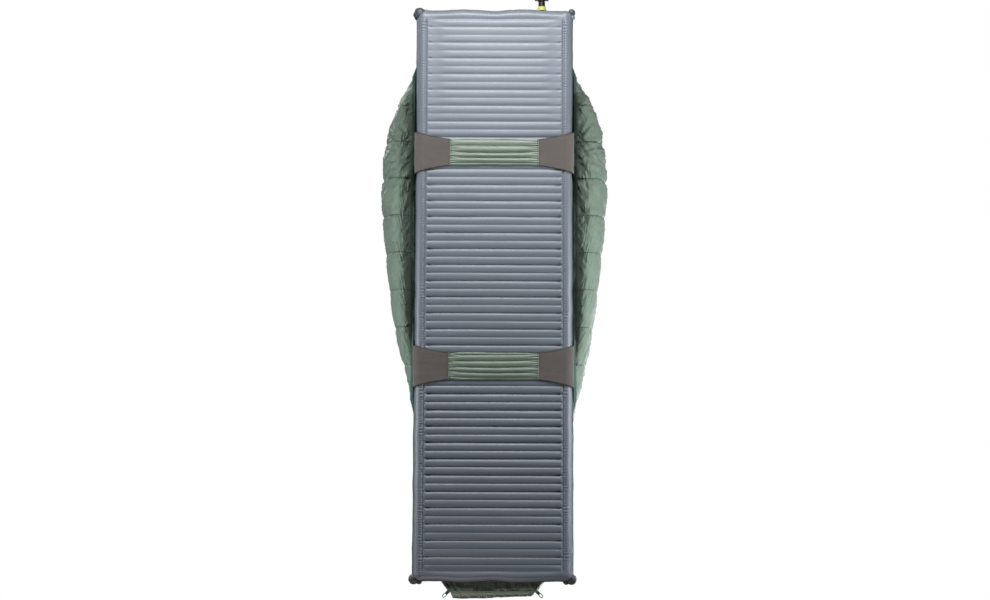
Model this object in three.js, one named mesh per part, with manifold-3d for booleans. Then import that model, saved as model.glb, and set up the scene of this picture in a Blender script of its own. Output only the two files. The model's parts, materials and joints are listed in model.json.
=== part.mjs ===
// A camp quilt strapped round an inflatable sleeping pad, modelled in millimetres.
// X runs across the pad, +Y runs towards the sleeper's head, +Z is up, and z = 0 is the ground under the
// straps.
// The origin is the middle of the pad, on the ground.
import * as THREE from "three";
import { RoundedBoxGeometry } from "three/addons/geometries/RoundedBoxGeometry.js";
import { mergeVertices } from "three/addons/utils/BufferGeometryUtils.js";
import Module from "manifold-3d";

const wasm = await Module();
wasm.setup();

// ---- Driving dimensions ----

// Air left between sewn or clamped pieces that would touch.
const GAP = 0.5;

// The hang loops at the foot and the valve knob at the head end both reach this far from the origin.
const REACH = 962;

const PAD = {
  width: 508,
  length: 1820,
  thickness: 76,
  edgeRadius: 26,
  skin: 1.2,
  bottom: 3.1, // the pad rests on the two straps
  seamHeight: 26, // where the top skin is welded to the bottom skin
  foldPitch: 50.8, // the core's folds, two ribs apart
  coreHalfWidth: 222,
  coreHalfLength: 863.6,
};
PAD.top = PAD.bottom + PAD.thickness;
PAD.middle = PAD.bottom + PAD.thickness / 2;

const STRAP = {
  centres: { upper: 447, lower: -231 },
  panelThickness: 1.2,
  panelAir: 1.2, // between a side panel and the pad
  sleeveHalfLength: 141,
  sleeveWidth: 85,
  sleeveHeight: 2.8,
  sleeveWall: 0.6,
  elasticWidth: 76,
  elasticThickness: 1,
  outerHalfWidth: 66,
  top: 81.4,
  lean: 2, // how far the panel leans out to meet the hem
};

const QUILT = {
  loft: 42,
  fabric: 1.2,
  hemOut: 262, // the hem hangs just outside the pad
  hemHeight: 82,
  tuck: 12, // how far the widest line stands out past the hem where the quilt is narrow
  droop: 45, // how far the roll beside the pad sags
  chambers: 13,
  foldLine: 609, // seam where the collar lifts
  headEnd: 850,
  footEnd: -934,
  footboxChambers: 4,
  footCapDepth: 19,
};

QUILT.chamberPitch = (QUILT.foldLine - QUILT.footEnd) / QUILT.chambers;

// Half width of the quilt's outer shell, and height of its crest, at places along the length.
const halfWidth = curveThrough([
  [-934, 161],
  [-890, 172],
  [-700, 198],
  [-333, 266],
  [-143, 312],
  [111, 350],
  [365, 366],
  [523, 344],
  [713, 262],
  [850, 165],
]);
const crestHeight = curveThrough([
  [-934, 272],
  [-850, 306],
  [-400, 300],
  [0, 335],
  [400, 352],
  [609, 350],
  [850, 290],
]);

const VALVE = {
  x: -150,
  barrelRadius: 11,
  boreRadius: 7,
  collarRadius: 16,
  collarDepth: 5,
  flangeRadius: 15,
  flangeDepth: 1.6,
  flangeAir: 1.6,
  sealAir: 2.3, // between the barrel's mouth and the knob, for the seal ring
  knobRadius: 13,
  knobDepth: 20,
  wingSpan: 46,
  wingThickness: 5,
  flapRadius: 9,
  flapDepth: 1.2,
};

VALVE.barrelLength = REACH - PAD.length / 2 - VALVE.knobDepth - VALVE.sealAir;

const CORD = { radius: 1.5, inset: 20, tailHalfGap: 3.2, tailLength: 52 };
const LOCK = { width: 18, depth: 16, height: 22, plungerRadius: 5, travel: 4, place: 16 };
const TAB = { width: 20, thickness: 1.6, overlap: 12, low: 83.2, high: 89.4 };
const SNAP = { discRadius: 6, postRadius: 2.2, boreRadius: 2.7 };
const LOOP = { radius: 6.5, cord: 1.2, height: 160, inward: 7 };

// ---- Materials ----

const nylon = (color, roughness = 0.45) =>
  new THREE.MeshStandardMaterial({ color, roughness, metalness: 0 });
const materials = {
  shell: nylon(0x6d8474),
  liner: nylon(0x54665c),
  down: nylon(0xe8e6df, 0.95),
  binding: nylon(0x33463f),
  stretch: nylon(0x77706c, 0.8),
  elastic: nylon(0x2f2f31, 0.85),
  padBottom: nylon(0x7c8491, 0.42),
  padTop: nylon(0x2c2f35, 0.5),
  film: new THREE.MeshStandardMaterial({
    color: 0xc9ccd0,
    roughness: 0.25,
    metalness: 0.6,
  }),
  blackPlastic: nylon(0x151617, 0.4),
  collarPlastic: nylon(0xb9c24a, 0.45),
  rubber: nylon(0x202122, 0.8),
  steel: new THREE.MeshStandardMaterial({
    color: 0xb7b9bc,
    roughness: 0.3,
    metalness: 1,
  }),
  cord: nylon(0x3f6b4d, 0.7),
};

// ---- Geometry helpers ----

// A smooth curve through [place, value] knots, returned as a function of the place.
function curveThrough(knots) {
  const last = knots.length - 1;
  const slope = (i) => {
    const [a, b] = [Math.max(i - 1, 0), Math.min(i + 1, last)];
    return (knots[b][1] - knots[a][1]) / (knots[b][0] - knots[a][0]);
  };
  return (place) => {
    let i = 0;
    while (i < last - 1 && place > knots[i + 1][0]) i++;
    const [p0, v0] = knots[i];
    const [p1, v1] = knots[i + 1];
    const span = p1 - p0;
    const s = THREE.MathUtils.clamp((place - p0) / span, 0, 1);
    const rise = s * s * (3 - 2 * s);
    const startPull = s * (1 - s) * (1 - s) * slope(i) * span;
    const endPull = s * s * (s - 1) * slope(i + 1) * span;
    return v0 + (v1 - v0) * rise + startPull + endPull;
  };
}

// A closed solid between two grids of points. Each of outside and inside maps (column, row) to a Vector3.
// Both grids split their quads along the same diagonal, so that a thin sheet doesn't cross itself.
function sheetSolid(columns, rows, outside, inside) {
  const stride = columns + 1;
  const layer = stride * (rows + 1);
  const positions = [];
  for (const side of [outside, inside])
    for (let row = 0; row <= rows; row++)
      for (let column = 0; column <= columns; column++)
        positions.push(...side(column, row).toArray());
  const index = [];
  const quad = (a, b, c, d) => index.push(a, b, c, a, c, d);
  const at = (side, column, row) => side * layer + row * stride + column;
  for (let row = 0; row < rows; row++)
    for (let column = 0; column < columns; column++) {
      const here = [column, row];
      const beside = [column + 1, row];
      const across = [column + 1, row + 1];
      const above = [column, row + 1];
      quad(...[here, beside, across, above].map((corner) => at(0, ...corner)));
      quad(...[here, above, across, beside].map((corner) => at(1, ...corner)));
    }
  const edge = [];
  for (let column = 0; column < columns; column++) edge.push([column, 0]);
  for (let row = 0; row < rows; row++) edge.push([columns, row]);
  for (let column = columns; column > 0; column--) edge.push([column, rows]);
  for (let row = rows; row > 0; row--) edge.push([0, row]);
  edge.forEach(([c, r], i) => {
    const [nextC, nextR] = edge[(i + 1) % edge.length];
    quad(at(0, c, r), at(1, c, r), at(1, nextC, nextR), at(0, nextC, nextR));
  });
  const geometry = new THREE.BufferGeometry();
  geometry.setAttribute("position", new THREE.Float32BufferAttribute(positions, 3));
  geometry.setIndex(index);
  return facingOut(geometry);
}

// Turns every triangle round if the closed surface encloses a negative volume.
function facingOut(geometry) {
  const position = geometry.attributes.position;
  const index = geometry.index.array;
  const corner = (i) => new THREE.Vector3().fromBufferAttribute(position, index[i]);
  let volume = 0;
  for (let i = 0; i < index.length; i += 3)
    volume += corner(i).dot(corner(i + 1).cross(corner(i + 2)));
  if (volume < 0) index.reverse();
  geometry.computeVertexNormals();
  return geometry;
}

// A three.js geometry as a manifold-3d solid, for cutting and joining.
function solidOf(geometry) {
  const bare = geometry.clone();
  bare.deleteAttribute("normal");
  bare.deleteAttribute("uv");
  const merged = mergeVertices(bare, 1e-3);
  const mesh = new wasm.Mesh({
    numProp: 3,
    vertProperties: new Float32Array(merged.attributes.position.array),
    triVerts: new Uint32Array(merged.index.array),
  });
  return new wasm.Manifold(mesh);
}

// A manifold-3d solid back as a three.js geometry.
function geometryOf(solid) {
  const mesh = solid.getMesh();
  const geometry = new THREE.BufferGeometry();
  geometry.setAttribute("position", new THREE.BufferAttribute(mesh.vertProperties, 3));
  geometry.setIndex(new THREE.BufferAttribute(mesh.triVerts, 1));
  geometry.computeVertexNormals();
  return geometry;
}

// A box between two corners.
function boxBetween([x0, y0, z0], [x1, y1, z1]) {
  const box = new THREE.BoxGeometry(x1 - x0, y1 - y0, z1 - z0);
  return box.translate((x0 + x1) / 2, (y0 + y1) / 2, (z0 + z1) / 2);
}

// A cylinder along +Y that starts at the given place, and the same along +Z.
function cylinderAlongY(radius, start, depth, sides = 24) {
  const cylinder = new THREE.CylinderGeometry(radius, radius, depth, sides);
  return cylinder.translate(0, start + depth / 2, 0);
}
function cylinderAlongZ(radius, start, depth, sides = 20) {
  return cylinderAlongY(radius, start, depth, sides).rotateX(Math.PI / 2);
}

// Turns a shape drawn in (y, z) and extruded from zero into a solid that runs along X, centred on x = 0.
function extrudeAlongX(shape, depth) {
  const geometry = new THREE.ExtrudeGeometry(shape, { depth, bevelEnabled: false });
  const basis = new THREE.Matrix4().makeBasis(
    new THREE.Vector3(0, 1, 0),
    new THREE.Vector3(0, 0, 1),
    new THREE.Vector3(1, 0, 0),
  );
  return geometry.applyMatrix4(basis).translate(-depth / 2, 0, 0);
}

// A round cord along a three.js curve.
function cordAlong(curve, radius, steps, sides = 6) {
  const section = new THREE.Shape();
  section.absarc(0, 0, radius, 0, Math.PI * 2);
  return new THREE.ExtrudeGeometry(section, {
    steps,
    curveSegments: sides,
    extrudePath: curve,
    bevelEnabled: false,
  });
}

function addPiece(parent, name, geometry, material) {
  const mesh = new THREE.Mesh(geometry, material);
  mesh.name = name;
  parent.add(mesh);
  return mesh;
}

// ---- The quilt's surface ----

// Where the hem lies at a place along the length: beside the pad, or on top of it where the quilt is narrow.
const hemX = (y) => Math.min(QUILT.hemOut, halfWidth(y) - QUILT.tuck);
const droopAt = (y) => QUILT.droop * THREE.MathUtils.smoothstep(halfWidth(y), 305, 340);

const UPPER_SHARE = 2 / 3; // share of the section, from crest to hem, that lies above the widest line
const WIDEST_LINE = 0.36; // height of the widest line, as a share of the crest's height over the hem
const SQUARENESS = 0.9; // under 1 makes the arch a little fuller than an ellipse
const HEM_STEP = 0.35; // rise of the hem for each millimetre of inset
const HEM_DRAW = 2.5; // how far the inner layers' hems lie inside the shell's hem
const DROOP_FADE = 60; // inset at which the sag has gone

// A point of the quilt's section. across runs from -1 at one hem, through 0 at the crest, to 1 at the other
// hem. inset is the distance inside the outer shell.
function quiltPoint(across, y, inset = 0) {
  const width = halfWidth(y) - inset;
  const crest = crestHeight(y) - inset;
  const widest = QUILT.hemHeight + WIDEST_LINE * (crestHeight(y) - QUILT.hemHeight);
  const side = Math.sign(across) || 1;
  const share = Math.abs(across);
  if (share <= UPPER_SHARE) {
    const angle = (Math.PI / 2) * (1 - share / UPPER_SHARE);
    const x = width * Math.max(Math.cos(angle), 0) ** SQUARENESS;
    const z = widest + (crest - widest) * Math.sin(angle) ** SQUARENESS;
    return new THREE.Vector3(share === 0 ? 0 : side * x, y, z);
  }
  const angle = ((Math.PI / 2) * (share - UPPER_SHARE)) / (1 - UPPER_SHARE);
  const hem = QUILT.hemHeight + HEM_STEP * inset;
  const sag = droopAt(y) * (1 - inset / DROOP_FADE) * Math.sin(2 * angle);
  const drawn = hemX(y) - Math.min(inset, HEM_DRAW);
  const x = drawn + (width - drawn) * Math.cos(angle);
  const z = widest - (widest - hem) * Math.sin(angle) - sag;
  return new THREE.Vector3(side * x, y, z);
}

const COLUMNS = 12;
const LINER = { outer: QUILT.loft, inner: QUILT.loft + QUILT.fabric };

// A grid of the quilt's points over a list of rows along the length. inset maps (row, column) to a distance.
const quiltGrid = (rows, inset) => (column, row) =>
  quiltPoint((2 * column) / COLUMNS - 1, rows[row], inset(row, column));

// The same grid a fabric's thickness further in, square to each row's section.
function fabricInside(grid) {
  return (column, row) => {
    const before = grid(Math.max(column - 1, 0), row);
    const along = grid(Math.min(column + 1, COLUMNS), row).sub(before).normalize();
    const inward = new THREE.Vector3(along.z, 0, -along.x);
    return grid(column, row).addScaledVector(inward, QUILT.fabric);
  };
}

// The seams between chambers, from the foot to the fold line, and on to the head.
const seams = [];
for (let i = 0; i <= QUILT.chambers; i++)
  seams.push(QUILT.footEnd + i * QUILT.chamberPitch);
const headSeams = [
  QUILT.foldLine,
  QUILT.foldLine + QUILT.chamberPitch,
  QUILT.headEnd,
];

const endsTrimmed = (rows, trim) =>
  rows.map((y, i) => (i === 0 ? y + trim : i === rows.length - 1 ? y - trim : y));

function shellLayer(rows) {
  const outside = quiltGrid(rows, () => 0);
  return sheetSolid(COLUMNS, rows.length - 1, outside, fabricInside(outside));
}

// The liner carries the baffle walls, which stand up to the outer shell at each inner seam and taper out at
// the hems.
function linerWithBaffles(rows) {
  const wall = { halfFoot: 1.5, top: QUILT.fabric + 2 };
  const places = [];
  rows.forEach((y, i) => {
    if (i === 0 || i === rows.length - 1) {
      places.push([y, LINER.outer]);
      return;
    }
    places.push([y - wall.halfFoot, LINER.outer]);
    places.push([y, wall.top]);
    places.push([y + wall.halfFoot, LINER.outer]);
  });
  const lines = places.map(([y]) => y);
  const atHem = (column) => column % COLUMNS === 0;
  const outside = quiltGrid(lines, (row, column) => (atHem(column) ? LINER.outer : places[row][1]));
  const inside = fabricInside(quiltGrid(lines, () => LINER.outer));
  return sheetSolid(COLUMNS, lines.length - 1, outside, inside);
}

// The down in one chamber: thick in the middle, thin at the baffle walls, clear of both hems.
function downFill(from, to) {
  const ends = { outer: 14, inner: 24, clear: 4 };
  const middle = { outer: 8, inner: 33 };
  const point = (layer) => (column, row) => {
    const across = (2 * (column + 1)) / COLUMNS - 1;
    const inset = row === 1 ? middle[layer] : ends[layer];
    const start = quiltPoint(across, from, inset);
    const end = quiltPoint(across, to, inset);
    const trim = ends.clear / (to - from);
    return start.lerp(end, [trim, 0.5, 1 - trim][row]);
  };
  return sheetSolid(COLUMNS - 2, 2, point("outer"), point("inner"));
}

// The bound edge that closes the loft along one side, from near to far inside the shell's hem.
const BINDING = { near: HEM_DRAW + 2 * QUILT.fabric + GAP, far: 10.5 };

function hemBinding(rows, side) {
  const height = HEM_STEP * LINER.inner;
  const point = (out) => (column, row) =>
    new THREE.Vector3(
      side * (hemX(rows[row]) - out),
      rows[row],
      QUILT.hemHeight + column * height,
    );
  return sheetSolid(1, rows.length - 1, point(BINDING.far), point(BINDING.near));
}

// ---- Pieces of the quilt ----

function buildQuilt(quilt) {
  const rows = endsTrimmed(seams, GAP / 2);
  addPiece(quilt, "outer_shell", shellLayer(rows), materials.shell);
  addPiece(quilt, "inner_liner_with_baffles", linerWithBaffles(rows), materials.liner);
  for (let i = 0; i < QUILT.chambers; i++) {
    const name = `down_fill_${String(QUILT.chambers - i).padStart(2, "0")}`;
    addPiece(quilt, name, downFill(seams[i], seams[i + 1]), materials.down);
  }
  const hemRows = endsTrimmed(seams.slice(QUILT.footboxChambers), GAP);
  addPiece(quilt, "hem_binding_left", hemBinding(hemRows, 1), materials.binding);
  addPiece(quilt, "hem_binding_right", hemBinding(hemRows, -1), materials.binding);
  buildFootbox(quilt);
}

// The closed foot: an insulated floor on the pad and a padded end cap.
function buildFootbox(quilt) {
  const rows = endsTrimmed(seams.slice(0, QUILT.footboxChambers + 1), GAP);
  const margin = 8;
  const floorLayer = (low, high) => {
    const point = (z) => (column, row) => {
      const reach = hemX(rows[row]) - margin;
      return new THREE.Vector3((2 * column - 1) * reach, rows[row], z);
    };
    return sheetSolid(1, rows.length - 1, point(low), point(high));
  };
  const { fabric, hemHeight: floor } = QUILT;
  const top = floor + HEM_STEP * LINER.inner - 2 * GAP;
  const cover = floorLayer(floor, floor + fabric);
  const fill = floorLayer(floor + fabric + GAP, top - fabric - GAP);
  const liner = floorLayer(top - fabric, top);
  addPiece(quilt, "footbox_floor_cover", cover, materials.shell);
  addPiece(quilt, "footbox_floor_fill", fill, materials.down);
  addPiece(quilt, "footbox_floor_liner", liner, materials.liner);
  buildFootCap(quilt);
}

// A slab with the foot's own outline. Each end is { offset, inset }: how far past the foot's last row it
// lies, and how far inside the outer shell. margin lifts its flat underside and draws in its lower corners.
function footPlug(near, far, margin) {
  const floor = QUILT.hemHeight + margin;
  const hem = hemX(QUILT.footEnd);
  const narrowing = 1 - margin / hem;
  const point = ({ offset, inset }) => (column, row) => {
    const y = QUILT.footEnd - offset;
    const edge = quiltPoint((2 * column) / COLUMNS - 1, QUILT.footEnd, inset);
    if (row === 0)
      return new THREE.Vector3(edge.x * narrowing, y, Math.max(edge.z, floor + 0.2));
    const x = -0.98 * hem * narrowing * Math.cos((Math.PI * column) / COLUMNS);
    return new THREE.Vector3(x, y, floor);
  };
  return sheetSolid(COLUMNS, 1, point(near), point(far));
}

// The foot's padded end: its cover narrows a millimetre for each millimetre it runs past the last row.
function buildFootCap(quilt) {
  const { fabric, footCapDepth: depth } = QUILT;
  const slab = (from, to, margin) =>
    footPlug(
      { offset: from, inset: from + margin },
      { offset: to, inset: to + margin },
      margin,
    );
  const wall = fabric + GAP;
  const outer = solidOf(slab(GAP, depth, 0));
  const cavity = solidOf(slab(-1, depth - fabric, wall));
  const fill = slab(2 * GAP, depth - fabric - GAP, wall + 2 * GAP);
  const liner = footPlug(
    { offset: -3 - fabric, inset: LINER.inner + 3 },
    { offset: -3, inset: LINER.inner + 3 },
    HEM_STEP * LINER.inner + GAP,
  );
  addPiece(quilt, "foot_end_cover", geometryOf(outer.subtract(cavity)), materials.shell);
  addPiece(quilt, "foot_end_fill", fill, materials.down);
  addPiece(quilt, "foot_end_liner", liner, materials.liner);
}

// ---- The collar: the head end above the last strap, which lifts so that the sleeper can get in ----

function buildCollar(collar) {
  const rows = endsTrimmed(headSeams, GAP / 2);
  addPiece(collar, "collar_shell", shellLayer(rows), materials.shell);
  addPiece(collar, "collar_liner_with_baffle", linerWithBaffles(rows), materials.liner);
  addPiece(collar, "collar_fill_lower", downFill(headSeams[0], headSeams[1]), materials.down);
  addPiece(collar, "collar_fill_upper", downFill(headSeams[1], headSeams[2]), materials.down);
  const hemRows = endsTrimmed(headSeams, GAP);
  addPiece(collar, "collar_hem_left", hemBinding(hemRows, 1), materials.binding);
  addPiece(collar, "collar_hem_right", hemBinding(hemRows, -1), materials.binding);
  const rim = sheetSolid(
    COLUMNS,
    1,
    (column, row) => rimPoint(column, row, 0),
    (column, row) => rimPoint(column, row, LINER.inner),
  );
  addPiece(collar, "neck_rim_binding", rim, materials.binding);
  addPiece(collar, "neck_drawcord", drawcord(), materials.cord);
}

const RIM = { start: QUILT.headEnd + GAP, depth: 3 };
const CORD_Y = RIM.start + RIM.depth + GAP + CORD.radius;
const TAIL_Z = quiltPoint(0, QUILT.headEnd, CORD.inset).z;

function rimPoint(column, row, inset) {
  const point = quiltPoint((2 * column) / COLUMNS - 1, QUILT.headEnd, inset);
  point.y = RIM.start + row * RIM.depth;
  return point;
}

// One cord runs round the neck rim, and its slack stands out at the crest as a tail for the cord lock.
function drawcord() {
  const arch = [];
  const reach = 0.96;
  for (let i = 0; i <= 12; i++) {
    const point = quiltPoint(reach * (i / 6 - 1), QUILT.headEnd, CORD.inset);
    arch.push(point.setY(CORD_Y));
  }
  const { tailHalfGap: half, tailLength } = CORD;
  const tail = new THREE.CurvePath();
  const at = (x, y) => new THREE.Vector3(x, y, TAIL_Z);
  const far = CORD_Y + tailLength;
  tail.add(new THREE.LineCurve3(at(-half, CORD_Y), at(-half, far)));
  tail.add(
    new THREE.CubicBezierCurve3(
      at(-half, far),
      at(-half, far + 2 * half),
      at(half, far + 2 * half),
      at(half, far),
    ),
  );
  tail.add(new THREE.LineCurve3(at(half, far), at(half, CORD_Y)));
  const archSolid = solidOf(cordAlong(new THREE.CatmullRomCurve3(arch), CORD.radius, 16, 4));
  return geometryOf(archSolid.add(solidOf(cordAlong(tail, CORD.radius, 12, 4))));
}

// A spring-loaded cord lock on the drawcord's tail. Its group's origin is the middle of the lock.
function buildCordLock(lock) {
  const { width, depth, height, plungerRadius, travel } = LOCK;
  const well = { floor: 1.5 - height / 2, radius: plungerRadius + 0.4 };
  const slot = {
    halfWidth: CORD.tailHalfGap + CORD.radius + 0.8,
    halfHeight: CORD.radius + 0.6,
  };
  const cordWay = boxBetween(
    [-slot.halfWidth, -depth, -slot.halfHeight],
    [slot.halfWidth, depth, slot.halfHeight],
  );
  const block = solidOf(new RoundedBoxGeometry(width, depth, height, 1, 3));
  const wellCut = solidOf(cylinderAlongZ(well.radius, well.floor, height));
  const body = block.subtract(wellCut).subtract(solidOf(cordWay));
  addPiece(lock, "cord_lock_body", geometryOf(body), materials.blackPlastic);

  // Each strand passes through its own window, tall enough for the plunger's travel. A web joins top and
  // foot.
  const stem = { low: -slot.halfHeight - 1.5, high: height / 2 + travel + 0.6 };
  const web = CORD.tailHalfGap - CORD.radius - 0.6;
  let plunger = solidOf(cylinderAlongZ(plungerRadius, stem.low, stem.high - stem.low));
  for (const [x0, x1] of [
    [web, width],
    [-width, -web],
  ]) {
    const window = boxBetween(
      [x0, -depth, -slot.halfHeight],
      [x1, depth, slot.halfHeight + travel],
    );
    plunger = plunger.subtract(solidOf(window));
  }
  addPiece(lock, "cord_lock_plunger", geometryOf(plunger), materials.blackPlastic);

  const coil = { turns: 4, radius: 3.4, wire: 0.45, clear: 0.9 };
  const helix = new HelixCurve(
    coil.radius,
    coil.turns,
    well.floor + coil.clear,
    stem.low - coil.clear,
  );
  addPiece(lock, "cord_lock_spring", cordAlong(helix, coil.wire, 32, 2), materials.steel);
}

class HelixCurve extends THREE.Curve {
  constructor(radius, turns, low, high) {
    super();
    Object.assign(this, { radius, turns, low, high });
  }
  getPoint(t, target = new THREE.Vector3()) {
    const angle = t * this.turns * Math.PI * 2;
    const z = THREE.MathUtils.lerp(this.low, this.high, t);
    return target.set(this.radius * Math.cos(angle), this.radius * Math.sin(angle), z);
  }
}

// The neck tabs meet behind the sleeper's neck and close with a snap.
function buildNeckTabs(lowTab, highTab) {
  const outer = hemX(QUILT.headEnd) - BINDING.far - 0.7;
  const y = { from: QUILT.headEnd - 22, to: QUILT.headEnd - 22 + TAB.width };
  const middleY = (y.from + y.to) / 2;
  const tab = (x0, x1, z) => boxBetween([x0, y.from, z], [x1, y.to, z + TAB.thickness]);
  addPiece(lowTab, "neck_tab_left", tab(-TAB.overlap, outer, TAB.low), materials.binding);
  addPiece(highTab, "neck_tab_right", tab(-outer, TAB.overlap, TAB.high), materials.binding);
  const base = TAB.low + TAB.thickness + 0.3;
  const disc = solidOf(cylinderAlongZ(SNAP.discRadius, base, 1));
  const post = solidOf(cylinderAlongZ(SNAP.postRadius, base + 0.5, 2.6));
  const socketBase = base + 1.4;
  const socketDepth = TAB.high - 0.3 - socketBase;
  const ring = solidOf(cylinderAlongZ(SNAP.discRadius, socketBase, socketDepth));
  const bore = solidOf(cylinderAlongZ(SNAP.boreRadius, socketBase - 1, socketDepth + 2));
  const stud = addPiece(lowTab, "neck_snap_stud", geometryOf(disc.add(post)), materials.blackPlastic);
  const socket = addPiece(
    highTab,
    "neck_snap_socket",
    geometryOf(ring.subtract(bore)),
    materials.blackPlastic,
  );
  stud.position.y = middleY;
  socket.position.y = middleY;
}

// A cord loop sewn to one foot corner, for hanging the quilt up.
function buildHangLoop(parent, name, side) {
  const size = LOOP.radius + LOOP.cord;
  const loop = new THREE.TorusGeometry(LOOP.radius, LOOP.cord, 6, 12);
  const mesh = addPiece(parent, name, loop, materials.cord);
  mesh.position.set(
    side * (halfWidth(QUILT.footEnd) - LOOP.inward),
    size - REACH,
    LOOP.height,
  );
}

// ---- The straps that pass under the pad ----

// The path of a side panel round the pad's lower edge, as [x, z, share of the way from sleeve to hem].
// off is the distance off the pad's skin.
function strapPath(off) {
  const { edgeRadius, width, bottom } = PAD;
  const corner = { x: width / 2 - edgeRadius, z: bottom + edgeRadius };
  const radius = edgeRadius + off;
  const start = STRAP.sleeveHalfLength + GAP;
  const flat = corner.x - start;
  const arc = (Math.PI / 2) * edgeRadius;
  const rise = STRAP.top - corner.z;
  const whole = flat + arc + rise;
  const path = [];
  const steps = { flat: 4, arc: 5, rise: 2 };
  for (let i = 0; i < steps.flat; i++) {
    const along = (flat * i) / steps.flat;
    path.push([start + along, corner.z - radius, along / whole]);
  }
  for (let i = 0; i <= steps.arc; i++) {
    const angle = ((Math.PI / 2) * i) / steps.arc;
    const x = corner.x + radius * Math.sin(angle);
    const z = corner.z - radius * Math.cos(angle);
    path.push([x, z, (flat + angle * edgeRadius) / whole]);
  }
  for (let i = 1; i <= steps.rise; i++) {
    const share = i / steps.rise;
    const x = corner.x + radius + STRAP.lean * share ** 2;
    path.push([x, corner.z + rise * share, (flat + arc + rise * share) / whole]);
  }
  return path;
}

// One stretch side panel: narrow at the gathered sleeve, wide where it is sewn to the hem.
function strapPanel(side) {
  const inner = strapPath(STRAP.panelAir);
  const outer = strapPath(STRAP.panelAir + STRAP.panelThickness);
  const point = (path) => (column, row) => {
    const [x, z, share] = path[column];
    const spread = Math.sin((Math.PI / 2) * Math.min(share / 0.6, 1));
    const half = THREE.MathUtils.lerp(STRAP.sleeveWidth / 2, STRAP.outerHalfWidth, spread);
    return new THREE.Vector3(side * x, (2 * row - 1) * half, z);
  };
  return sheetSolid(inner.length - 1, 1, point(outer), point(inner));
}

// The gathered sleeve is a flat fabric tube round a wide elastic.
function strapSleeve() {
  const rectangle = (Path, halfY, low, high) => {
    const path = new Path();
    path.moveTo(-halfY, low);
    path.lineTo(halfY, low);
    path.lineTo(halfY, high);
    path.lineTo(-halfY, high);
    path.closePath();
    return path;
  };
  const { sleeveWidth, sleeveHeight, sleeveWall, sleeveHalfLength } = STRAP;
  const outline = rectangle(THREE.Shape, sleeveWidth / 2, 0, sleeveHeight);
  const inside = [sleeveWidth / 2 - 2, sleeveWall, sleeveHeight - sleeveWall];
  outline.holes.push(rectangle(THREE.Path, ...inside));
  return extrudeAlongX(outline, 2 * sleeveHalfLength);
}

function buildStrap(parent, place) {
  const strap = new THREE.Group();
  strap.position.y = STRAP.centres[place];
  parent.add(strap);
  addPiece(strap, `${place}_strap_panel_left`, strapPanel(1), materials.stretch);
  addPiece(strap, `${place}_strap_panel_right`, strapPanel(-1), materials.stretch);
  addPiece(strap, `${place}_strap_sleeve`, strapSleeve(), materials.shell);
  const elastic = new THREE.BoxGeometry(
    2 * STRAP.sleeveHalfLength - 4,
    STRAP.elasticWidth,
    STRAP.elasticThickness,
  );
  const band = addPiece(strap, `${place}_strap_elastic`, elastic, materials.elastic);
  band.position.z = STRAP.sleeveHeight / 2;
}

// ---- The sleeping pad ----

function roundedPad(shrink) {
  const { width, length, thickness, edgeRadius } = PAD;
  return solidOf(
    new RoundedBoxGeometry(
      width - 2 * shrink,
      length - 2 * shrink,
      thickness - 2 * shrink,
      2,
      edgeRadius - shrink,
    ).translate(0, 0, PAD.middle),
  );
}

function buildPad(pad) {
  const hollow = roundedPad(0).subtract(roundedPad(PAD.skin));
  const far = 2000;
  const seam = PAD.seamHeight;
  const below = solidOf(boxBetween([-far, -far, -far], [far, far, seam - GAP / 2]));
  const above = solidOf(boxBetween([-far, -far, seam + GAP / 2], [far, far, far]));
  const valveHole = cylinderAlongY(VALVE.barrelRadius + GAP, PAD.length / 2 - 20, 40);
  valveHole.translate(VALVE.x, 0, PAD.middle);
  const top = hollow.intersect(above).subtract(solidOf(valveHole));
  addPiece(pad, "pad_bottom_skin", geometryOf(hollow.intersect(below)), materials.padBottom);
  addPiece(pad, "pad_top_skin", geometryOf(top), materials.padTop);

  const { middle } = PAD;
  const clear = PAD.skin + 0.8;
  const sheet = 0.6;
  const lower = trussFilm(PAD.bottom + clear, middle - 1.2, sheet);
  const upper = trussFilm(middle + 1.2, PAD.top - clear, sheet);
  const { coreHalfWidth: halfX, coreHalfLength: halfY } = PAD;
  const flat = boxBetween([-halfX, -halfY, middle - sheet / 2], [halfX, halfY, middle + sheet / 2]);
  addPiece(pad, "core_lower_truss", lower, materials.film);
  addPiece(pad, "core_middle_film", flat, materials.film);
  addPiece(pad, "core_upper_truss", upper, materials.film);
}

// A zigzag film that holds the pad's faces apart.
function trussFilm(low, high, thickness) {
  const zig = [];
  const count = Math.round((2 * PAD.coreHalfLength) / PAD.foldPitch);
  for (let i = 0; i <= count; i++)
    zig.push([i * PAD.foldPitch - PAD.coreHalfLength, i % 2 ? high - thickness : low]);
  const shape = new THREE.Shape();
  shape.moveTo(...zig[0]);
  zig.slice(1).forEach(([y, z]) => shape.lineTo(y, z));
  zig.reverse().forEach(([y, z]) => shape.lineTo(y, z + thickness));
  return extrudeAlongX(shape, 2 * PAD.coreHalfWidth);
}

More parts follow.
